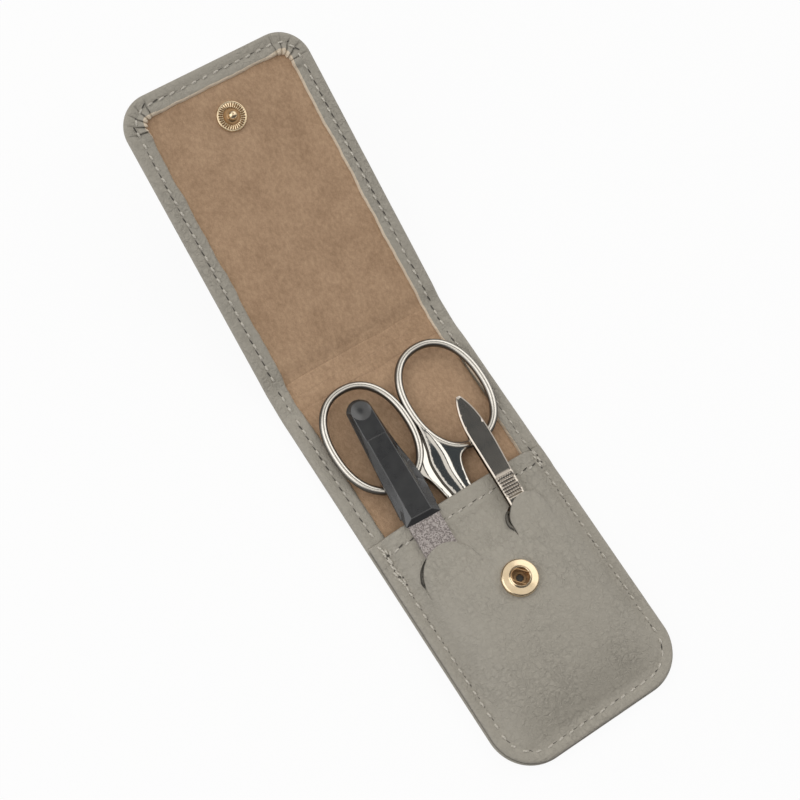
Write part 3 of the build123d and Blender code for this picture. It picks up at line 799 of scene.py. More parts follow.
def tool_lift(name, x, y, inside):
    """How high the leather must be to clear a tool, and how much it is held there."""
    centre, slant, radius, left, right, above = TONGUES[name]
    dx = tongue_offset(name, x, y)
    reach = left if dx < 0 else right
    height = 3.6 + (y + 1.4) * sin(LEAN) + above - 0.012 * dx * dx
    held = 1 - ramp(reach, reach + 4.2, abs(dx))
    if not inside:
        held *= 1 - ramp(-8.0, 2.5, y)
    return height, held * ramp(-26.0, -8.0, y)


def border(x, y):
    """Distance in from the pocket's sides and rounded bottom."""
    s = y - FOLD_Y
    dx, ds = abs(x) - (HALF - BODY_CORNER), BODY_END + BODY_CORNER - s
    if dx > 0 and ds > 0:
        return BODY_CORNER - hypot(dx, ds)
    return min(HALF - abs(x), s - BODY_END)


def front_height(x, y, inside=None):
    """The outer surface of the pocket front; inside names the tongue that the point is on."""
    z = crown(x, y)
    for name in TONGUES:
        height, held = tool_lift(name, x, y, inside == name)
        z += max(0.0, height - z) * held
    # the snap pulls the leather flat
    r = hypot(x - SNAP[0], y - SNAP[1])
    seat = SEAT - (y - SNAP[1]) * sin(radians(4.0))
    z += (seat - z) * (1 - ramp(4.9, 7.5, r))
    z -= 0.16 * bell(r - 5.6, 0.8)
    # hem: a turned edge, and the grooves that the thread pulls in
    d_mouth, d_side = MOUTH - y, border(x, y)
    hem = 1 - ramp(5.6, 7.0, d_mouth + 0.3 * wave(x, 0, 8, 5.5))
    z += 0.28 * hem if not inside else 0.0
    z -= 0.30 * bell(d_side - 3.3, 0.6)
    z -= 0.24 * bell(d_mouth - 4.5, 0.55) * ramp(2.5, 4.0, d_side) * (inside is None)
    z += 0.11 * wave(x, y, 10, 6.1) + 0.05 * wave(x, y, 3.4, 2.4)
    # the turned edges are round
    for d in (d_side - 0.35, d_mouth):
        if d < 0.7:
            z -= 0.6 * (1 - sqrt(max(0.0, 1 - (1 - max(0.0, d) / 0.7) ** 2)))
    return z


print("seat", round(front_height(0, -13.3), 2), "mouth", round(front_height(0, 12), 2))

# %% Pocket front
def pocket_outline(inset, step):
    """The pocket's outline as a closed loop, moved in by inset."""
    stations = outline(MOUTH - FOLD_Y, BODY_END, BODY_CORNER, step)
    loop = [(x + nx * inset, s + ns * inset + FOLD_Y) for x, s, nx, ns in stations]
    top = MOUTH - inset + 0.35
    loop[0], loop[-1] = (-HALF + inset, top), (HALF - inset, top)
    width = 2 * (HALF - inset)
    count = round(width / step)
    return loop + [(HALF - inset - width * i / count, top) for i in range(1, count)]


def arch_points(name, step):
    """The slit round a tongue, as a line of points from leg to leg."""
    centre, slant, radius = TONGUES[name][:3]
    low = ARCH_Y - radius
    legs = [(-radius, low - 3.0 * (1 - i / 5)) for i in range(5)]
    turns = round(pi * radius / step)
    arc = [(-radius * cos(pi * i / turns), low + radius * sin(pi * i / turns))
           for i in range(turns + 1)]
    line = legs + arc + [(-dx, y) for dx, y in reversed(legs)]
    return [(centre + slant * y + dx, y) for dx, y in line]


def pocket_points():
    """Points and fixed edges of the pocket's flat pattern, and the slits' runs."""
    points, edges = [], []

    def chain(run, closed=False):
        first = len(points)
        points.extend(Vector(v) for v in run)
        edges.extend((first + i, first + i + 1) for i in range(len(run) - 1))
        if closed:
            edges.append((first + len(run) - 1, first))
        return list(range(first, len(points)))

    rim = chain(pocket_outline(0.35, 0.8), True)
    for inset in (0.5, 0.75, 1.1):
        chain(pocket_outline(inset, 0.8), True)
    slits = {name: chain(arch_points(name, 0.5)) for name in TONGUES}
    for name in TONGUES:
        for shrink in (-0.3, 0.3):
            centre, slant, radius = TONGUES[name][:3]
            for x, y in arch_points(name, 0.5):
                dx, dy = tongue_offset(name, x, y), max(0.0, y - (ARCH_Y - radius))
                points.append(Vector((x + shrink * dx / radius, y + shrink * dy / radius)))
    return points, edges, rim, slits


def pocket_sheet():
    points, edges, rim, slits = pocket_points()
    slit_points = {name: [points[i].copy() for i in run] for name, run in slits.items()}
    step, row = 0.72, 0
    y = MOUTH - 1.2
    while y > -54:
        x = -HALF + 1.6 + (row % 2) * step / 2
        while x < HALF - 1.6:
            clear = border(x, y) > 1.5
            for name, run in slit_points.items():
                if clear and y > -8 and abs(tongue_offset(name, x, y)) < TONGUES[name][2] + 1:
                    clear = min(hypot(x - a, y - b) for a, b in run) > 0.6
            if clear:
                points.append(Vector((x, y)))
            x += step
        y -= step * 0.866
        row += 1
    places, made_edges, faces, old_points = delaunay_2d_cdt(points, edges, [rim], 1, 1e-6)[:4]
    bm = bmesh.new()
    flat = bm.verts.layers.float_vector.new("flat")
    painted_shade = bm.verts.layers.float.new("fold")
    verts = [bm.verts.new((p.x, p.y, 0)) for p in places]
    for face in faces:
        bm.faces.new([verts[i] for i in face])
    new_of = {old: new for new, olds in enumerate(old_points) for old in olds}
    cuts = []
    for run in slits.values():
        for a, b in zip(run, run[1:]):
            edge = bm.edges.get((verts[new_of[a]], verts[new_of[b]]))
            if edge:
                cuts.append(edge)
    bmesh.ops.split_edges(bm, edges=cuts)
    for v in bm.verts:
        x, y = v.co.x, v.co.y
        middle = sum((f.calc_center_median() for f in v.link_faces), Vector()) / len(v.link_faces)
        inside = next((n for n in TONGUES if under_arch(n, middle.x, middle.y)), None)
        v[flat] = Vector((x, y - FOLD_Y, 0)) * MM
        for name in TONGUES:
            dx, dy = tongue_offset(name, x, y), max(0.0, y - ARCH_Y + TONGUES[name][2])
            gape = ramp(-3.4, -0.5, y) * (1 - ramp(1.8, 4.4, y))
            if dx < 0 and abs(hypot(dx, dy) - TONGUES[name][2]) < 0.1:
                # the slit gapes on its left side, and painted shade darkens its cut edge
                v.co.x -= SLIT_GAP[name] * gape * (not inside)
                v[painted_shade] = 1.2 * min(1.0, 2 * gape)
        # painted shade: the leather seen down the socket's bore is darkened
        if hypot(x - SNAP[0], y - SNAP[1]) < 1.6:
            v[painted_shade] = 1.2
        v.co.z = front_height(x, y, inside)
    bmesh.ops.scale(bm, vec=(MM, MM, MM), verts=bm.verts[:])
    bmesh.ops.recalc_face_normals(bm, faces=bm.faces[:])
    if sum(f.normal.z for f in bm.faces) < 0:
        bmesh.ops.reverse_faces(bm, faces=bm.faces[:])
    piece = finish_piece(
        "pocket_leather", bm, [leather, cut_edge], "leather", "case", ("pocket_front",)
    )
    wall = piece.modifiers.new("thickness", "SOLIDIFY")
    wall.thickness = 0.7 * MM
    wall.offset = -1
    wall.use_rim = True
    return piece


pocket = pocket_sheet()

# %% [markdown]
# Stitches. Each is a short bead of thread that rises out of one needle hole and sinks into the
# next, a little slanted as lock stitches are. One small bead is built ring by ring, and the
# seam repeats it along a path that lies on the leather.


# %% Stitching
STITCH, PITCH, THREAD = 1.75, 3.25, 0.29


def walk(path, pitch, start=0.5):
    """Points at equal steps along a polyline of (x, s) pairs, with the direction there."""
    spots, carried = [], -pitch * start
    for (x0, s0), (x1, s1) in zip(path, path[1:]):
        length = hypot(x1 - x0, s1 - s0)
        while carried + pitch <= length:
            carried += pitch
            t = carried / length
            spots.append(
                (x0 + (x1 - x0) * t, s0 + (s1 - s0) * t, (x1 - x0) / length, (s1 - s0) / length)
            )
        carried -= length
    return spots


def seam(name, paths, surface, body, pitch=PITCH, length=STITCH, slant=0.16):
    """Sews along each path; surface(x, s) gives a point of the leather in metres."""
    bm = bmesh.new()
    flat = bm.verts.layers.float_vector.new("flat")
    twist = bm.verts.layers.float_vector.new("twist")
    sides, rings = 8, 7
    for number, (x, s, dx, ds) in enumerate(w for path in paths for w in walk(path, pitch)):
        wobble = 0.10 * wave(number, 0.5, 1.3, 9.9)
        lean = slant + 0.10 * wave(number, 3.5, 1.7, 2.9)
        reach = length * (1 + 0.10 * wave(number, 8.5, 1.4, 4.9))
        ax, as_ = dx - ds * lean, ds + dx * lean
        here = surface(x, s)
        ahead = surface(x + ax * 0.4, s + as_ * 0.4) - surface(x - ax * 0.4, s - as_ * 0.4)
        aside = surface(x - as_ * 0.4, s + ax * 0.4) - surface(x + as_ * 0.4, s - ax * 0.4)
        along = ahead.normalized()
        up = along.cross(aside).normalized()
        side = up.cross(along)
        # painted shade: a dark slot where the thread sinks, from this stitch to the next
        gap = (pitch - reach) * 0.5
        spin = Matrix((along, side, up)).transposed().to_4x4()
        spin.translation = here + (along * (pitch * 0.5) + up * 0.015) * MM
        disc = bmesh.ops.create_circle(
            bm, cap_ends=True, segments=10, radius=MM,
            matrix=spin @ Matrix.Diagonal((gap + 0.1, 0.20 + 0.05 * wobble, 1, 1)),
        )["verts"]
        for v in disc:
            v[flat] = v.co
        for f in {f for v in disc for f in v.link_faces}:
            f.material_index = 1
        last = None
        for k in range(rings):
            t = k / (rings - 1) * 2 - 1
            arch = sqrt(max(0.0, 1 - t * t))
            spin = Matrix((side, up, along)).transposed().to_4x4()
            spin.translation = here + (
                along * t * reach * 0.5 + up * (0.34 * arch - 0.22) + side * wobble * arch
            ) * MM
            made = bmesh.ops.create_circle(
                bm, cap_ends=False, segments=sides, matrix=spin,
                radius=THREAD * (0.42 + 0.58 * arch) * MM,
            )["verts"]
            for i, v in enumerate(made):
                v[flat] = v.co
                v[twist] = Vector((2 * pi * i / sides, t * length * 0.5 + number, 0))
            links = list({e for v in made for e in v.link_edges})
            if last:
                bmesh.ops.bridge_loops(bm, edges=last + links)
            last = links
    bmesh.ops.recalc_face_normals(bm, faces=[f for f in bm.faces if f.material_index != 1])
    return finish_piece(name, bm, [thread, hole_painted_shade], None, body)


def on_pocket(x, s):
    return Vector((x, s + FOLD_Y, front_height(x, s + FOLD_Y) + 0.05)) * MM


def on_band(x, s):
    return lay(x, s, (2.6 - 0.6 * thin(s)) * 0.945 + 0.03)


def on_flap(x, s):
    """The stitch line of the flap, which climbs over the pleats."""
    return lay(x, s, band_point(x, s, 3.1, 0.94, 0.0, 0.0, True)[2] + 0.05)


def side_path(start, end, corner, inset, end_inset, step=0.7):
    """A seam line along three sides of a panel."""
    path = []
    for x, s, nx, ns in outline(start, end, corner, step):
        d = inset + (end_inset - inset) * abs(ns)
        path.append((x + nx * d, s + ns * d))
    return path


pocket_top = MOUTH - FOLD_Y
seam("pocket_seam", [side_path(pocket_top - 1.2, BODY_END, 12.0, 3.2, 3.2)], on_pocket, "case")
seam("hem_seam", [[(-23.2, pocket_top - 4.5), (23.2, pocket_top - 4.5)]], on_pocket, "case",
     slant=0.22)
for side, word in ((-1, "left"), (1, "right")):
    x = side * 24.3
    seam(f"case_band_seam_{word}", [[(x, pocket_top + 1), (x, -1.6)]], on_band, "case")
    seam(f"spine_seam_{word}", [[(x, 0.2), (x, SPINE - 0.2)]], on_band, "spine")
seam("flap_seam", [side_path(SPINE + 1.6, FLAP_END, 9.0, 3.2, 2.95)], on_flap, "flap")

# %% [markdown]
# Both top corners of the pocket are sewn over twice, so that they can't tear. The second run
# lies a little beside the first, and a few short stitches cross it.

# %% Locking stitches
t = pocket_top
seam(
    "locking_stitches",
    [
        [(-24.75, t - 0.6), (-24.6, t - 5), (-23.7, t - 11.5), (-24.3, t - 15)],
        [(-23.5, t - 2.2), (-24.9, t - 9.0), (-24.4, t - 13)],
        [(-22.6, t - 3.4), (-24.6, t - 7.2)],
        [(24.7, t - 0.3), (24.5, t - 4.6)],
        [(23.9, t - 1.6), (23.7, t - 5.4)],
    ],
    on_pocket, "case", pitch=2.1, length=1.7, slant=0.2,
)

# %% [markdown]
# The scissors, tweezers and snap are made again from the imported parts' sizes, because their
# looks live in soft roundings that a plain solid lacks. A point of a tool is given along its own
# length and turned into the case's frame by one function.


# %% The frame of the tools
def tool_frame(x, y, yaw):
    """A matrix from a tool's own across, along and up into metres of the case."""
    lean = Matrix.Translation((1.3, -1.4, 3.6)) @ Matrix.Rotation(LEAN, 4, "X")
    place = Matrix.Translation((x - 1.3, y + 1.4, 0)) @ Matrix.Rotation(-radians(yaw), 4, "Z")
    return Matrix.Scale(MM, 4) @ lean @ place


on_scissors = tool_frame(1.3, -1.4, 0.0)
on_file = tool_frame(-11.6, 13.0, 2.9)
on_tweezers = tool_frame(12.3, 11.0, 3.7)


def send(bm, place):
    bmesh.ops.transform(bm, matrix=place, verts=bm.verts[:])


def rounded(points, parts=4):
    """A closed smooth outline through the points."""
    count, line = len(points), []
    for i in range(count):
        a, b, c, d = (Vector(points[(i + k) % count]) for k in (-1, 0, 1, 2))
        for j in range(parts):
            t = j / parts
            line.append(
                0.5 * (2 * b + (c - a) * t + (2 * a - 5 * b + 4 * c - d) * t * t
                       + (3 * b - a - 3 * c + d) * t**3)
            )
    return line


def edge_distance(line, x, y):
    """Distance from a point to a closed outline."""
    best = 1e9
    for (x0, y0), (x1, y1) in zip(line, line[1:] + line[:1]):
        dx, dy = x1 - x0, y1 - y0
        t = min(1.0, max(0.0, ((x - x0) * dx + (y - y0) * dy) / (dx * dx + dy * dy + 1e-12)))
        best = min(best, hypot(x - x0 - dx * t, y - y0 - dy * t))
    return best


def plate(bm, line, rows, step, low, high, rings=(0.12, 0.3, 0.6), crease=None):
    """A closed plate: line is its outline, low and high give its two faces' heights.

    crease(v) is where a fold of the face runs; points stand in rows along it.
    """
    count = len(line)
    points = [Vector(p) for p in line]
    twice = sum(a[0] * b[1] - b[0] * a[1] for a, b in zip(points, points[1:] + points[:1]))
    turn = 1 if twice > 0 else -1
    for ring in rings:
        for i in range(count):
            run = (points[(i + 1) % count] - points[i - 1]).normalized()
            spot = points[i] + Vector((-run.y, run.x)) * turn * ring
            if edge_distance(line, *spot) > 0.85 * ring:
                points.append(spot)
    left, right = min(p[0] for p in line), max(p[0] for p in line)
    for k, v in enumerate(rows):
        u = left + (k % 2) * step / 2
        while u < right:
            beyond = crease(v) - u if crease else 9
            if edge_distance(line, u, v) > rings[-1] + 0.1 and not -0.2 < beyond < 0.9:
                points.append(Vector((u, v)))
            u += step
        for beyond in (0.08, 0.2, 0.32, 0.44, 0.75) if crease else ():
            if edge_distance(line, crease(v) - beyond, v) > 0.3:
                points.append(Vector((crease(v) - beyond, v)))
    edges = [(i, (i + 1) % count) for i in range(count)]
    places, made_edges, faces = delaunay_2d_cdt(points, edges, [list(range(count))], 1, 1e-6)[:3]
    verts = [bm.verts.new((p.x, p.y, 0)) for p in places]
    sheet = [bm.faces.new([verts[i] for i in face]) for face in faces]
    made = bmesh.ops.extrude_face_region(bm, geom=sheet)["geom"]
    top = {v for v in made if isinstance(v, bmesh.types.BMVert)}
    bottom = {v for f in sheet for v in f.verts}
    for v in top | bottom:
        u, y = v.co.x, v.co.y
        d = edge_distance(line, u, y)
        v.co.z = high(u, y, d) if v in top else low(u, y, d)
    loose = [v for v in verts if not v.link_faces]
    bmesh.ops.delete(bm, geom=loose, context="VERTS")
    bmesh.ops.recalc_face_normals(bm, faces=list({f for v in top | bottom for f in v.link_faces}))


def steps(low, high, step):
    count = max(1, ceil((high - low) / step))
    return [low + (high - low) * i / count for i in range(count + 1)]


print("tool frames ready")

# %% [markdown]
# Each half of the scissors is forged from one piece: a round wire ring that flows into a shank
# with a raised, rounded ridge. The ring is a circle spun once round and laid on an oval. The shank
# is a plate whose height rises from its edge and again along its ridge, so that the ridge
# catches the lamps while the flats beside it mirror the dark ceiling.

# %% Scissors
RING_X, RING_Y, WIRE = 11.85, 40.0, 1.1
RING_SIDE, RING_END = 11.0, 15.05  # half width and half length of the ring's centre line
SHANK = (
    (9.3, 26.0), (7.0, 26.8), (4.6, 28.3), (3.0, 30.6), (2.2, 33.4), (1.35, 36.5), (0.3, 36.6),
    (-0.1, 33.6), (-1.0, 29.6), (-2.3, 25.6), (-2.4, 20.3), (-1.8, 15.7), (-2.3, 8.0),
    (-2.4, 0.0), (3.4, 0.0), (3.5, 8.0), (3.75, 15.9), (4.4, 19.9), (5.2, 22.4), (6.4, 23.9),
    (9.2, 24.7),
)
CREST_RIGHT = ((8.0, 1.2), (15.8, 1.22), (21.5, 1.10), (26.8, 1.79), (33.2, 1.54))
CREST_BREADTH = ((8.0, 0.30), (15.8, 0.32), (20.0, 0.42), (24.0, 0.55), (28.0, 0.45), (33.2, 0.35))
COVER = ((8.0, -2.3), (15.7, -1.8), (20.3, -2.4), (25.6, -2.3), (29.6, -1.0), (33.6, -0.1))
BLADE = ((-3.9, 0), (-3.7, -10), (-2.6, -24), (0, -34), (0.4, -24), (0.9, -2), (3.0, 0))


def ring_wire(bm, side):
    """A circle spun once round, then laid on an oval: each cross-section keeps its round shape."""
    across = Matrix.Translation((RING_END, 0, 0)) @ Matrix.Rotation(pi / 2, 4, "X")
    made = bmesh.ops.create_circle(
        bm, cap_ends=False, segments=28, radius=WIRE, matrix=across
    )["verts"]
    bmesh.ops.spin(
        bm, geom=list(made) + list({e for v in made for e in v.link_edges}), cent=(0, 0, 0),
        axis=(0, 0, 1), angle=2 * pi, steps=168, use_merge=True, use_duplicate=False,
    )
    for v in bm.verts:
        a, off = atan2(v.co.y, v.co.x), hypot(v.co.x, v.co.y) - RING_END
        # an oval a little squarer than an ellipse
        c, s = (t * abs(t) ** -0.1 if abs(t) > 1e-9 else 0.0 for t in (cos(a), sin(a)))
        out = Vector((c * abs(c) ** 0.2 / RING_SIDE, s * abs(s) ** 0.2 / RING_END, 0))
        out = out.normalized() * off
        v.co.x = side * RING_X + RING_SIDE * c + out.x
        v.co.y = RING_Y + RING_END * s + out.y
    bmesh.ops.recalc_face_normals(bm, faces=bm.faces[:])


def scissor_half(name, side):
    bm = bmesh.new()
    ring_wire(bm, side)
    wires = bm.verts.layers.float.new("wire")
    for v in bm.verts:
        v[wires] = 1.0
    line = rounded([(side * u, v) for u, v in SHANK], 4)
    base = 0.03 if side > 0 else -1.25

    def high(u, v, d):
        edge = 0.30 * (1 - exp(-d / 0.13))
        if side > 0:
            breadth = curve(CREST_BREADTH, v)
            ridge = 0.50 * breadth * bell(u - curve(CREST_RIGHT, v), breadth) * ramp(0.05, 0.9, d)
            return 0.52 + edge + ridge + 0.2 * ramp(29, 34, v)
        beyond = curve(COVER, v) - u
        slope = 0.18 + 0.24 * min(beyond, 2.4) - 0.30 * max(0.0, beyond - 2.4)
        return -0.03 + ramp(0.1, 0.4, beyond) * (slope - 0.30 + edge)

    def low(u, v, d):
        return base - (0.0 if side > 0 else 0.25 * ramp(28, 34, v))

    fold = (lambda v: curve(COVER, v)) if side < 0 else None
    plate(bm, line, steps(0.4, 36.2, 0.5), 0.5, low, high, crease=fold)
    blade_low = 0.03 if side > 0 else -0.9
    plate(
        bm, [Vector((side * u, v)) for u, v in BLADE], steps(-33.5, -0.5, 2.0), 1.6,
        lambda u, v, d: blade_low, lambda u, v, d: blade_low + 0.87 - 0.35 * bell(d, 0.8),
        rings=(0.8,),
    )
    boss = bmesh.ops.create_cone(
        bm, cap_ends=True, segments=48, radius1=3.9, radius2=3.9 if side < 0 else 3.6,
        depth=1.22, matrix=Matrix.Translation((0, 0, base + 0.61)),
    )
    print(name, "boss of", len(boss["verts"]), "points")
    send(bm, on_scissors)
    bm.normal_update()
    # painted dark reflection: the steeper a point's normal, the darker the nickel's colour there
    painted_dark_sides = bm.verts.layers.float.new("side")
    for v in bm.verts:
        v[painted_dark_sides] = ramp(0.40, 0.72, hypot(v.normal.x, v.normal.y))
    piece = finish_piece(name, bm, [nickel], "nickel", *HALVES[side])
    wire_normals(piece)
    return piece


HALVES = {-1: ("scissors", ("scissor_half_left",)), 1: ("scissors_right", ("scissor_half_right",))}


def wire_normals(piece, angle=38):
    """Shades a piece smooth, but keeps edges sharper than the angle."""
    mesh = piece.data
    bm = bmesh.new()
    bm.from_mesh(mesh)
    for e in bm.edges:
        e.smooth = len(e.link_faces) != 2 or e.calc_face_angle(0) < radians(angle)
    bm.to_mesh(mesh)
    bm.free()


scissor_half("scissor_half_left_polished", -1)
scissor_half("scissor_half_right_polished", 1)

# %% [markdown]
# The tweezers are two ground arms, welded at the leaf-shaped end. The upper arm carries seven
# ribs for the fingers. Its long edges are broken by a small bevel that shines white, which is
# what draws the tweezers' outline.

# %% Tweezers
LEAF = ((0.0, 24.9), (0.5, 24.6), (1.05, 23.6), (1.8, 21.6), (2.4, 19.3), (2.85, 16.2), (2.95, 13.2), (2.85, 8.0),
        (2.6, 0.0), (2.5, -7.0), (2.1, -24.0), (1.5, -46.0))
TWEEZER_MID, METAL, HINGE = 4.15, 0.8, 15.9
PITCH_RIB = 0.87


def arm_rise(v):
    return curve(((-46, 0.42), (-30, 0.5), (8.9, 0.5), (12.4, 0.27), (15.9, 0.0)), v)


def leaf_line(top, bottom):
    """The leaf outline between two distances along it, as a closed line."""
    half = [(w, v) for w, v in LEAF if bottom < v < top]
    width = {v: curve([(b, a) for a, b in reversed(LEAF)], v) for v in (top, bottom)}
    right = [(width[top], top)] * (top < LEAF[0][1]) + half + [(width[bottom], bottom)]
    fine = []
    for (w0, v0), (w1, v1) in zip(right, right[1:]):
        count = max(1, round(hypot(w1 - w0, v1 - v0) / 0.4))
        for j in range(count):
            v = v0 + (v1 - v0) * j / count
            w = w0 + (w1 - w0) * j / count if w0 < 0.01 or v1 < -40 else curve(
                [(b, a) for a, b in reversed(LEAF)], v)
            fine.append((w, v))
    fine.append(right[-1])
    return [Vector(p) for p in fine + [(-w, v) for w, v in reversed(fine) if w > 0.01]]


def tweezer_strip(name, side, top, bottom, body, node):
    bm = bmesh.new()

    def outer(u, v, d):
        crest = METAL - 0.22 * (1 - ramp(0.0, 0.30, d))
        ribbed = ramp(-5.9, -5.6, v) * (1 - ramp(0.3, 0.6, v)) * ramp(0.0, 0.3, d)
        crest += (0.34 * abs(cos(pi * v / PITCH_RIB)) - 0.30) * ribbed
        return TWEEZER_MID + side * (arm_rise(v) + crest)

    def inner(u, v, d):
        return TWEEZER_MID + side * (arm_rise(v) + 0.01)

    rows = steps(bottom + 0.6, min(-6.0, top), 1.2) if bottom < -6 else []
    rows += steps(-6.0, 0.6, 0.145) if bottom < -6 and top > 0.6 else []
    rows += steps(max(0.8, bottom + 0.5), top - 0.8, 0.8)
    low, high = (inner, outer) if side > 0 else (outer, inner)
    plate(bm, leaf_line(top, bottom), rows, 0.7, low, high, rings=(0.12, 0.36))
    send(bm, on_tweezers)
    piece = finish_piece(name, bm, [steel], "dark_steel", body, (node,))
    wire_normals(piece, 30)


tweezer_strip("tweezer_upper_arm", 1, 24.9, -46.0, "tweezers", "tweezer_arm_top")
tweezer_strip("tweezer_lower_arm", -1, HINGE - 0.1, -46.0, "tweezers_lower_arm",
              "tweezer_arm_bottom")
tweezer_strip("tweezer_weld", -1, 24.9, HINGE, "tweezers", "tweezer_heel")

# %% [markdown]
# The file's handle is moulded plastic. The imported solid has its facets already, but a moulded
# edge is never razor sharp, and the thin lines of light on those edges are what makes the handle
# look real. So a copy of the solid is cleaned up and bevelled.


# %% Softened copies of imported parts
def softened(node, name, materials, slot, body, width, angle=25):
    """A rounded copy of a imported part."""
    bm = bmesh.new()
    bm.from_mesh(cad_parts[node].data)
    bmesh.ops.transform(bm, matrix=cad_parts[node].matrix_world, verts=bm.verts[:])
    bmesh.ops.remove_doubles(bm, verts=bm.verts[:], dist=1e-6)
    bmesh.ops.dissolve_limit(
        bm, angle_limit=radians(1.0), verts=bm.verts[:], edges=bm.edges[:]
    )
    back = on_file.inverted()
    for y in (3, 5, 7, 9, 11, 13, 15, 17, 19, 21.5, 24):
        flank = [f for f in bm.faces if f.normal.z < 0.96 and (back @ f.calc_center_median()).x > 2]
        parts = {v for f in flank for v in f.verts} | {e for f in flank for e in f.edges}
        bmesh.ops.bisect_plane(
            bm, geom=list(parts) + flank, dist=1e-7,
            plane_co=on_file @ Vector((0, y, 0)),
            plane_no=(on_file.to_3x3() @ Vector((0, 1, 0))).normalized(),
        )
    for v in bm.verts:
        spot = back @ v.co
        if spot.y < 1.0 and spot.z < 3.5:
            # the mouth of the handle closes on the blade in one straight edge
            spot.y, spot.z = -0.3, 3.47
        if spot.x > 2.5 and spot.z < 2.9:
            # the right flank swells in the middle, where the fingers hold it
            spot.x += 1.1 * bell(spot.y - 10.5, 8.0)
        if spot.z < 2.2:
            # the underside of the far end is cut away, so that it clears the flap when pulled out
            spot.z += 0.6 * ramp(22, 34, spot.y)
        v.co = on_file @ Vector((spot.x * (1.06 - 0.0030 * spot.y), spot.y * 1.012, spot.z))
    sharp = [e for e in bm.edges if len(e.link_faces) == 2
             and e.calc_face_angle(0) > radians(angle) and e.calc_length() > 2.5 * width * MM]
    bmesh.ops.bevel(
        bm, geom=sharp, offset=width * MM, segments=2, profile=0.5, affect="EDGES", material=-1
    )
    bmesh.ops.recalc_face_normals(bm, faces=bm.faces[:])
    for e in bm.edges:
        e.smooth = len(e.link_faces) != 2 or e.calc_face_angle(0) < radians(22)
    return finish_piece(name, bm, materials, slot, body, (node,), flat_from=9e-6)


softened("file_handle", "file_handle_moulded", [black_plastic], "file_handle", "file", 0.16)

# %% [markdown]
# The snap's visible faces are turned parts, so each is a profile spun about the snap's axis. The
# stud's disc is stamped with fine radial ribs: after the spin its middle rings are moved up and
# down around the turn.


# %% Snap
def snap_frame(base, tilt):
    """A matrix that stands a part, drawn in millimetres about z, on its place in the case."""
    place = Matrix.Rotation(radians(tilt), 4, "X")
    place.translation = Vector(base) * MM
    return place @ Matrix.Diagonal((MM, MM, MM, 1))


def turned(name, profile, count, matrix, materials, slot, body, nodes, shape=None):
    bm = bmesh.new()
    line = [bm.verts.new((r, 0, z)) for r, z in profile]
    edges = [bm.edges.new(pair) for pair in zip(line, line[1:])]
    if profile[0][0] > 0.01:
        edges.append(bm.edges.new((line[-1], line[0])))
    bmesh.ops.spin(
        bm, geom=line + edges, cent=(0, 0, 0), axis=(0, 0, 1), angle=2 * pi, steps=count,
        use_merge=True, use_duplicate=False,
    )
    bmesh.ops.remove_doubles(bm, verts=bm.verts[:], dist=0.001)
    for v in bm.verts:
        if shape:
            v.co.z += shape(hypot(v.co.x, v.co.y), atan2(v.co.y, v.co.x), v.co.z)
    # painted shade: the stud's rib valleys, the groove round its ball and the socket's bore take the darker brass
    if len(materials) > 1:
        for f in bm.faces:
            middle = f.calc_center_median()
            r, a = hypot(middle.x, middle.y), atan2(middle.y, middle.x)
            valley = shape and abs(cos(16 * a)) < 0.55 and 2.35 < r < 3.5 and middle.z > 0.1
            f.material_index = int(bool(valley) or (r < 2.3 and middle.z < 1.6 and not shape))
            if shape and r < 2.3 and middle.z < 0.6:
                f.material_index = 1
    bmesh.ops.transform(bm, matrix=matrix, verts=bm.verts[:])
    bmesh.ops.recalc_face_normals(bm, faces=bm.faces[:])
    piece = finish_piece(name, bm, materials, slot, body, nodes)
    wire_normals(piece, 40)
    return piece


socket_place = snap_frame((0, SNAP[1], SEAT), -4.0)
SHELL = (
    (1.45, 0.0), (4.9, 0.0), (4.92, 0.4), (4.90, 0.75), (4.82, 0.98), (4.66, 1.13), (4.42, 1.22),
    (4.1, 1.30), (3.7, 1.40), (3.3, 1.50), (3.0, 1.58), (2.84, 1.66), (2.74, 1.80), (2.64, 1.93),
    (2.5, 1.98), (2.38, 1.93), (2.31, 1.80), (2.3, 1.5), (2.3, 0.3), (1.45, 0.3),
)
turned("socket_shell_turned", SHELL, 96, socket_place, [brass, brass_painted_shade], "snap_brass", "case",
       ("socket_shell",))

stud_spot = lay(0, SPINE + 68.485, 1.8) / MM
stud_place = snap_frame(stud_spot, 2 * TURN)
ball = [(1.35 * sin(a), 1.60 - 1.35 * cos(a)) for a in [pi * (0.33 + 0.67 * i / 12) for i in range(13)]]
STUD = [(0.0, 0.02), (4.1, 0.02), (4.1, 0.30), (4.04, 0.48), (3.92, 0.60), (3.76, 0.62),
        (3.62, 0.54), (3.5, 0.50), (3.2, 0.50), (2.9, 0.50), (2.6, 0.50), (2.35, 0.50),
        (2.2, 0.42), (2.0, 0.34), (1.6, 0.36), (1.25, 0.44), (1.08, 0.60)]
STUD += [(max(0.0, r), z) for r, z in ball]


def ribs(r, a, z):
    on_disc = ramp(2.25, 2.5, r) * (1 - ramp(3.45, 3.6, r)) * (z > 0.4)
    return (0.36 * abs(cos(16 * a)) - 0.18) * on_disc


turned("flap_stud_turned", STUD, 192, stud_place, [brass, brass_painted_shade], "snap_brass", "flap",
       ("flap_stud",), ribs)

# %% [markdown]
# The rest of the hard parts come from the imported model as they are and only need their finish.

# %% Finishes of the imported parts
# painted shade: the eyelet and spring down the socket's bore take the darker brass
FINISH = {
    "socket_eyelet": brass_painted_shade, "flap_cap": brass, "socket_spring": brass_painted_shade,
    "scissor_screw": nickel, "file_blade": grit,
}
for node, material in FINISH.items():
    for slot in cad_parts[node].material_slots:
        slot.material = material
print("finished", len(FINISH), "packed parts")

# %% [markdown]
# Light and camera. The photograph is a product shot on white under large soft lamps at both
# sides, with a dark ceiling that the flat metal mirrors. The floor and the world are white where
# the camera looks straight at them, and the floor still takes a faint shadow.

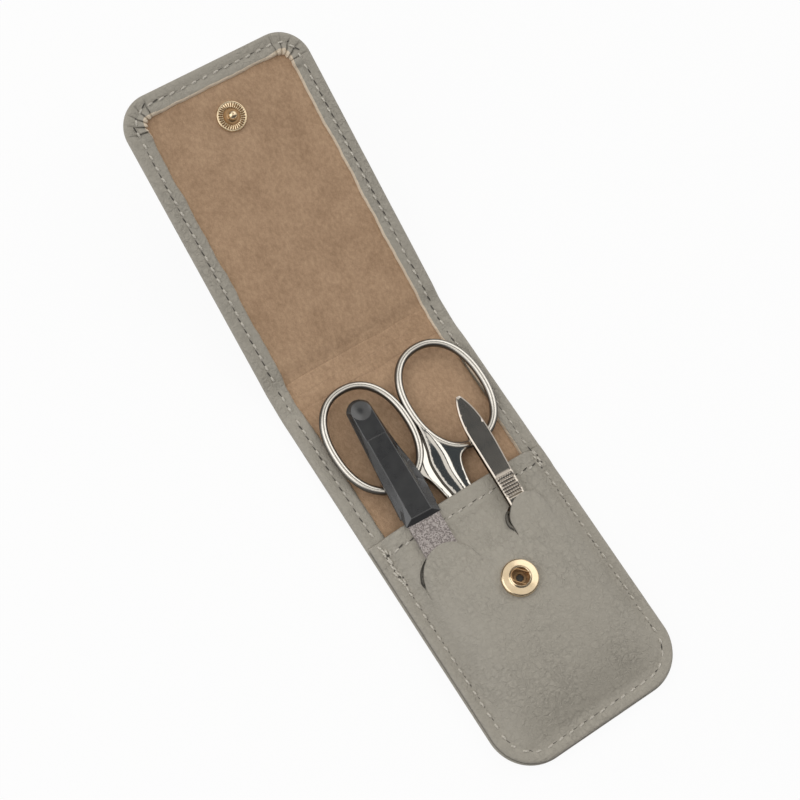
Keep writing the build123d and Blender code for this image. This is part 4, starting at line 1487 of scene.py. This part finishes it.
# %% Floor
floor_paint = Paint("floor")
shade = floor_paint.cloud(floor_paint.place(), 0.02, 2)
tone = floor_paint.mix(shade, (0.84, 0.84, 0.84, 1), (0.86, 0.86, 0.86, 1))
floor_paint.set(Base_Color=tone, Roughness=0.9)
seen = floor_paint.add("ShaderNodeLightPath", output="Is Camera Ray")
glow = floor_paint.add("ShaderNodeEmission", None, {"Color": (1, 1, 1, 1), "Strength": 1.0})
both = floor_paint.add(
    "ShaderNodeMixShader", None,
    {0: seen * 0.93, 1: Wire(floor_paint, floor_paint.surface.outputs[0]), 2: glow},
)
floor_paint.feed(floor_paint.output.inputs[0], both)
bm = bmesh.new()
bmesh.ops.create_grid(bm, x_segments=2, y_segments=2, size=2.0)
mesh = bpy.data.meshes.new("floor")
bm.to_mesh(mesh)
bm.free()
mesh.materials.append(floor_paint.owner)
ground = bpy.data.objects.new("floor", mesh)
bpy.context.scene.collection.objects.link(ground)
print("floor laid")

# %% Lamps and world
scene = bpy.context.scene
scene.view_settings.view_transform = "Standard"
world = bpy.data.worlds.new("studio")
scene.world = world
sky = Paint("studio", world)
way = sky.add("ShaderNodeTexCoord", output="Generated")
CEILING = Vector((0.27, 0.21, 0.94)).normalized()
facing = sky.add("ShaderNodeVectorMath", {"operation": "DOT_PRODUCT"}, {0: way, 1: CEILING}, 1)
walls = sky.mix(facing.between(0.58, 0.74), (0.12, 0.12, 0.125, 1), (0.90, 0.885, 0.86, 1))
walls = sky.mix(facing.between(0.968, 0.988), walls, (0.045, 0.055, 0.065, 1))
height = sky.add("ShaderNodeSeparateXYZ", None, {0: way}, "Z")
walls = sky.mix(height.between(0.0, 0.2), (0.10, 0.10, 0.10, 1), walls)
white = sky.add("ShaderNodeLightPath", output="Is Camera Ray")
shown = sky.mix(white, walls, (1, 1, 1, 1))
room = sky.add("ShaderNodeBackground", None, {"Color": shown, "Strength": 1.0})
end = sky.tree.nodes.new("ShaderNodeOutputWorld")
sky.feed(end.inputs[0], room)


def lamp(name, toward, distance, width, height, power):
    """A soft lamp that shines on the case from a direction."""
    light = bpy.data.lights.new(name, "AREA")
    light.shape = "RECTANGLE"
    light.size, light.size_y, light.energy = width, height, power
    holder = bpy.data.objects.new(name, light)
    look = Vector(toward).normalized()
    holder.location = Vector((0, 0.04, 0)) + look * distance
    holder.rotation_euler = (-look).to_track_quat("-Z", "Y").to_euler()
    scene.collection.objects.link(holder)


lamp("left_lamp", (-0.80, 0.16, 0.56), 1.2, 1.3, 1.3, 8.0)
lamp("right_lamp", (0.85, 0.15, 0.50), 1.1, 1.5, 1.3, 4.0)
print("lamps set")

# %% Camera
RIGHT = Vector((0.83071, -0.54419, 0.11740))
DOWN = Vector((-0.48662, -0.81221, -0.32172))
AHEAD = Vector((0.27043, 0.21012, -0.93953))
view = bpy.data.cameras.new("camera")
view.lens, view.sensor_width = 67.8, 36
view.clip_start, view.clip_end = 0.01, 10
camera = bpy.data.objects.new("camera", view)
turn = Matrix((RIGHT, -DOWN, -AHEAD)).transposed().to_4x4()
turn.translation = Vector((-106.17, -40.26, 378.92)) * MM
camera.matrix_world = turn
scene.collection.objects.link(camera)
scene.camera = camera
print("camera at", [round(v, 4) for v in camera.location])
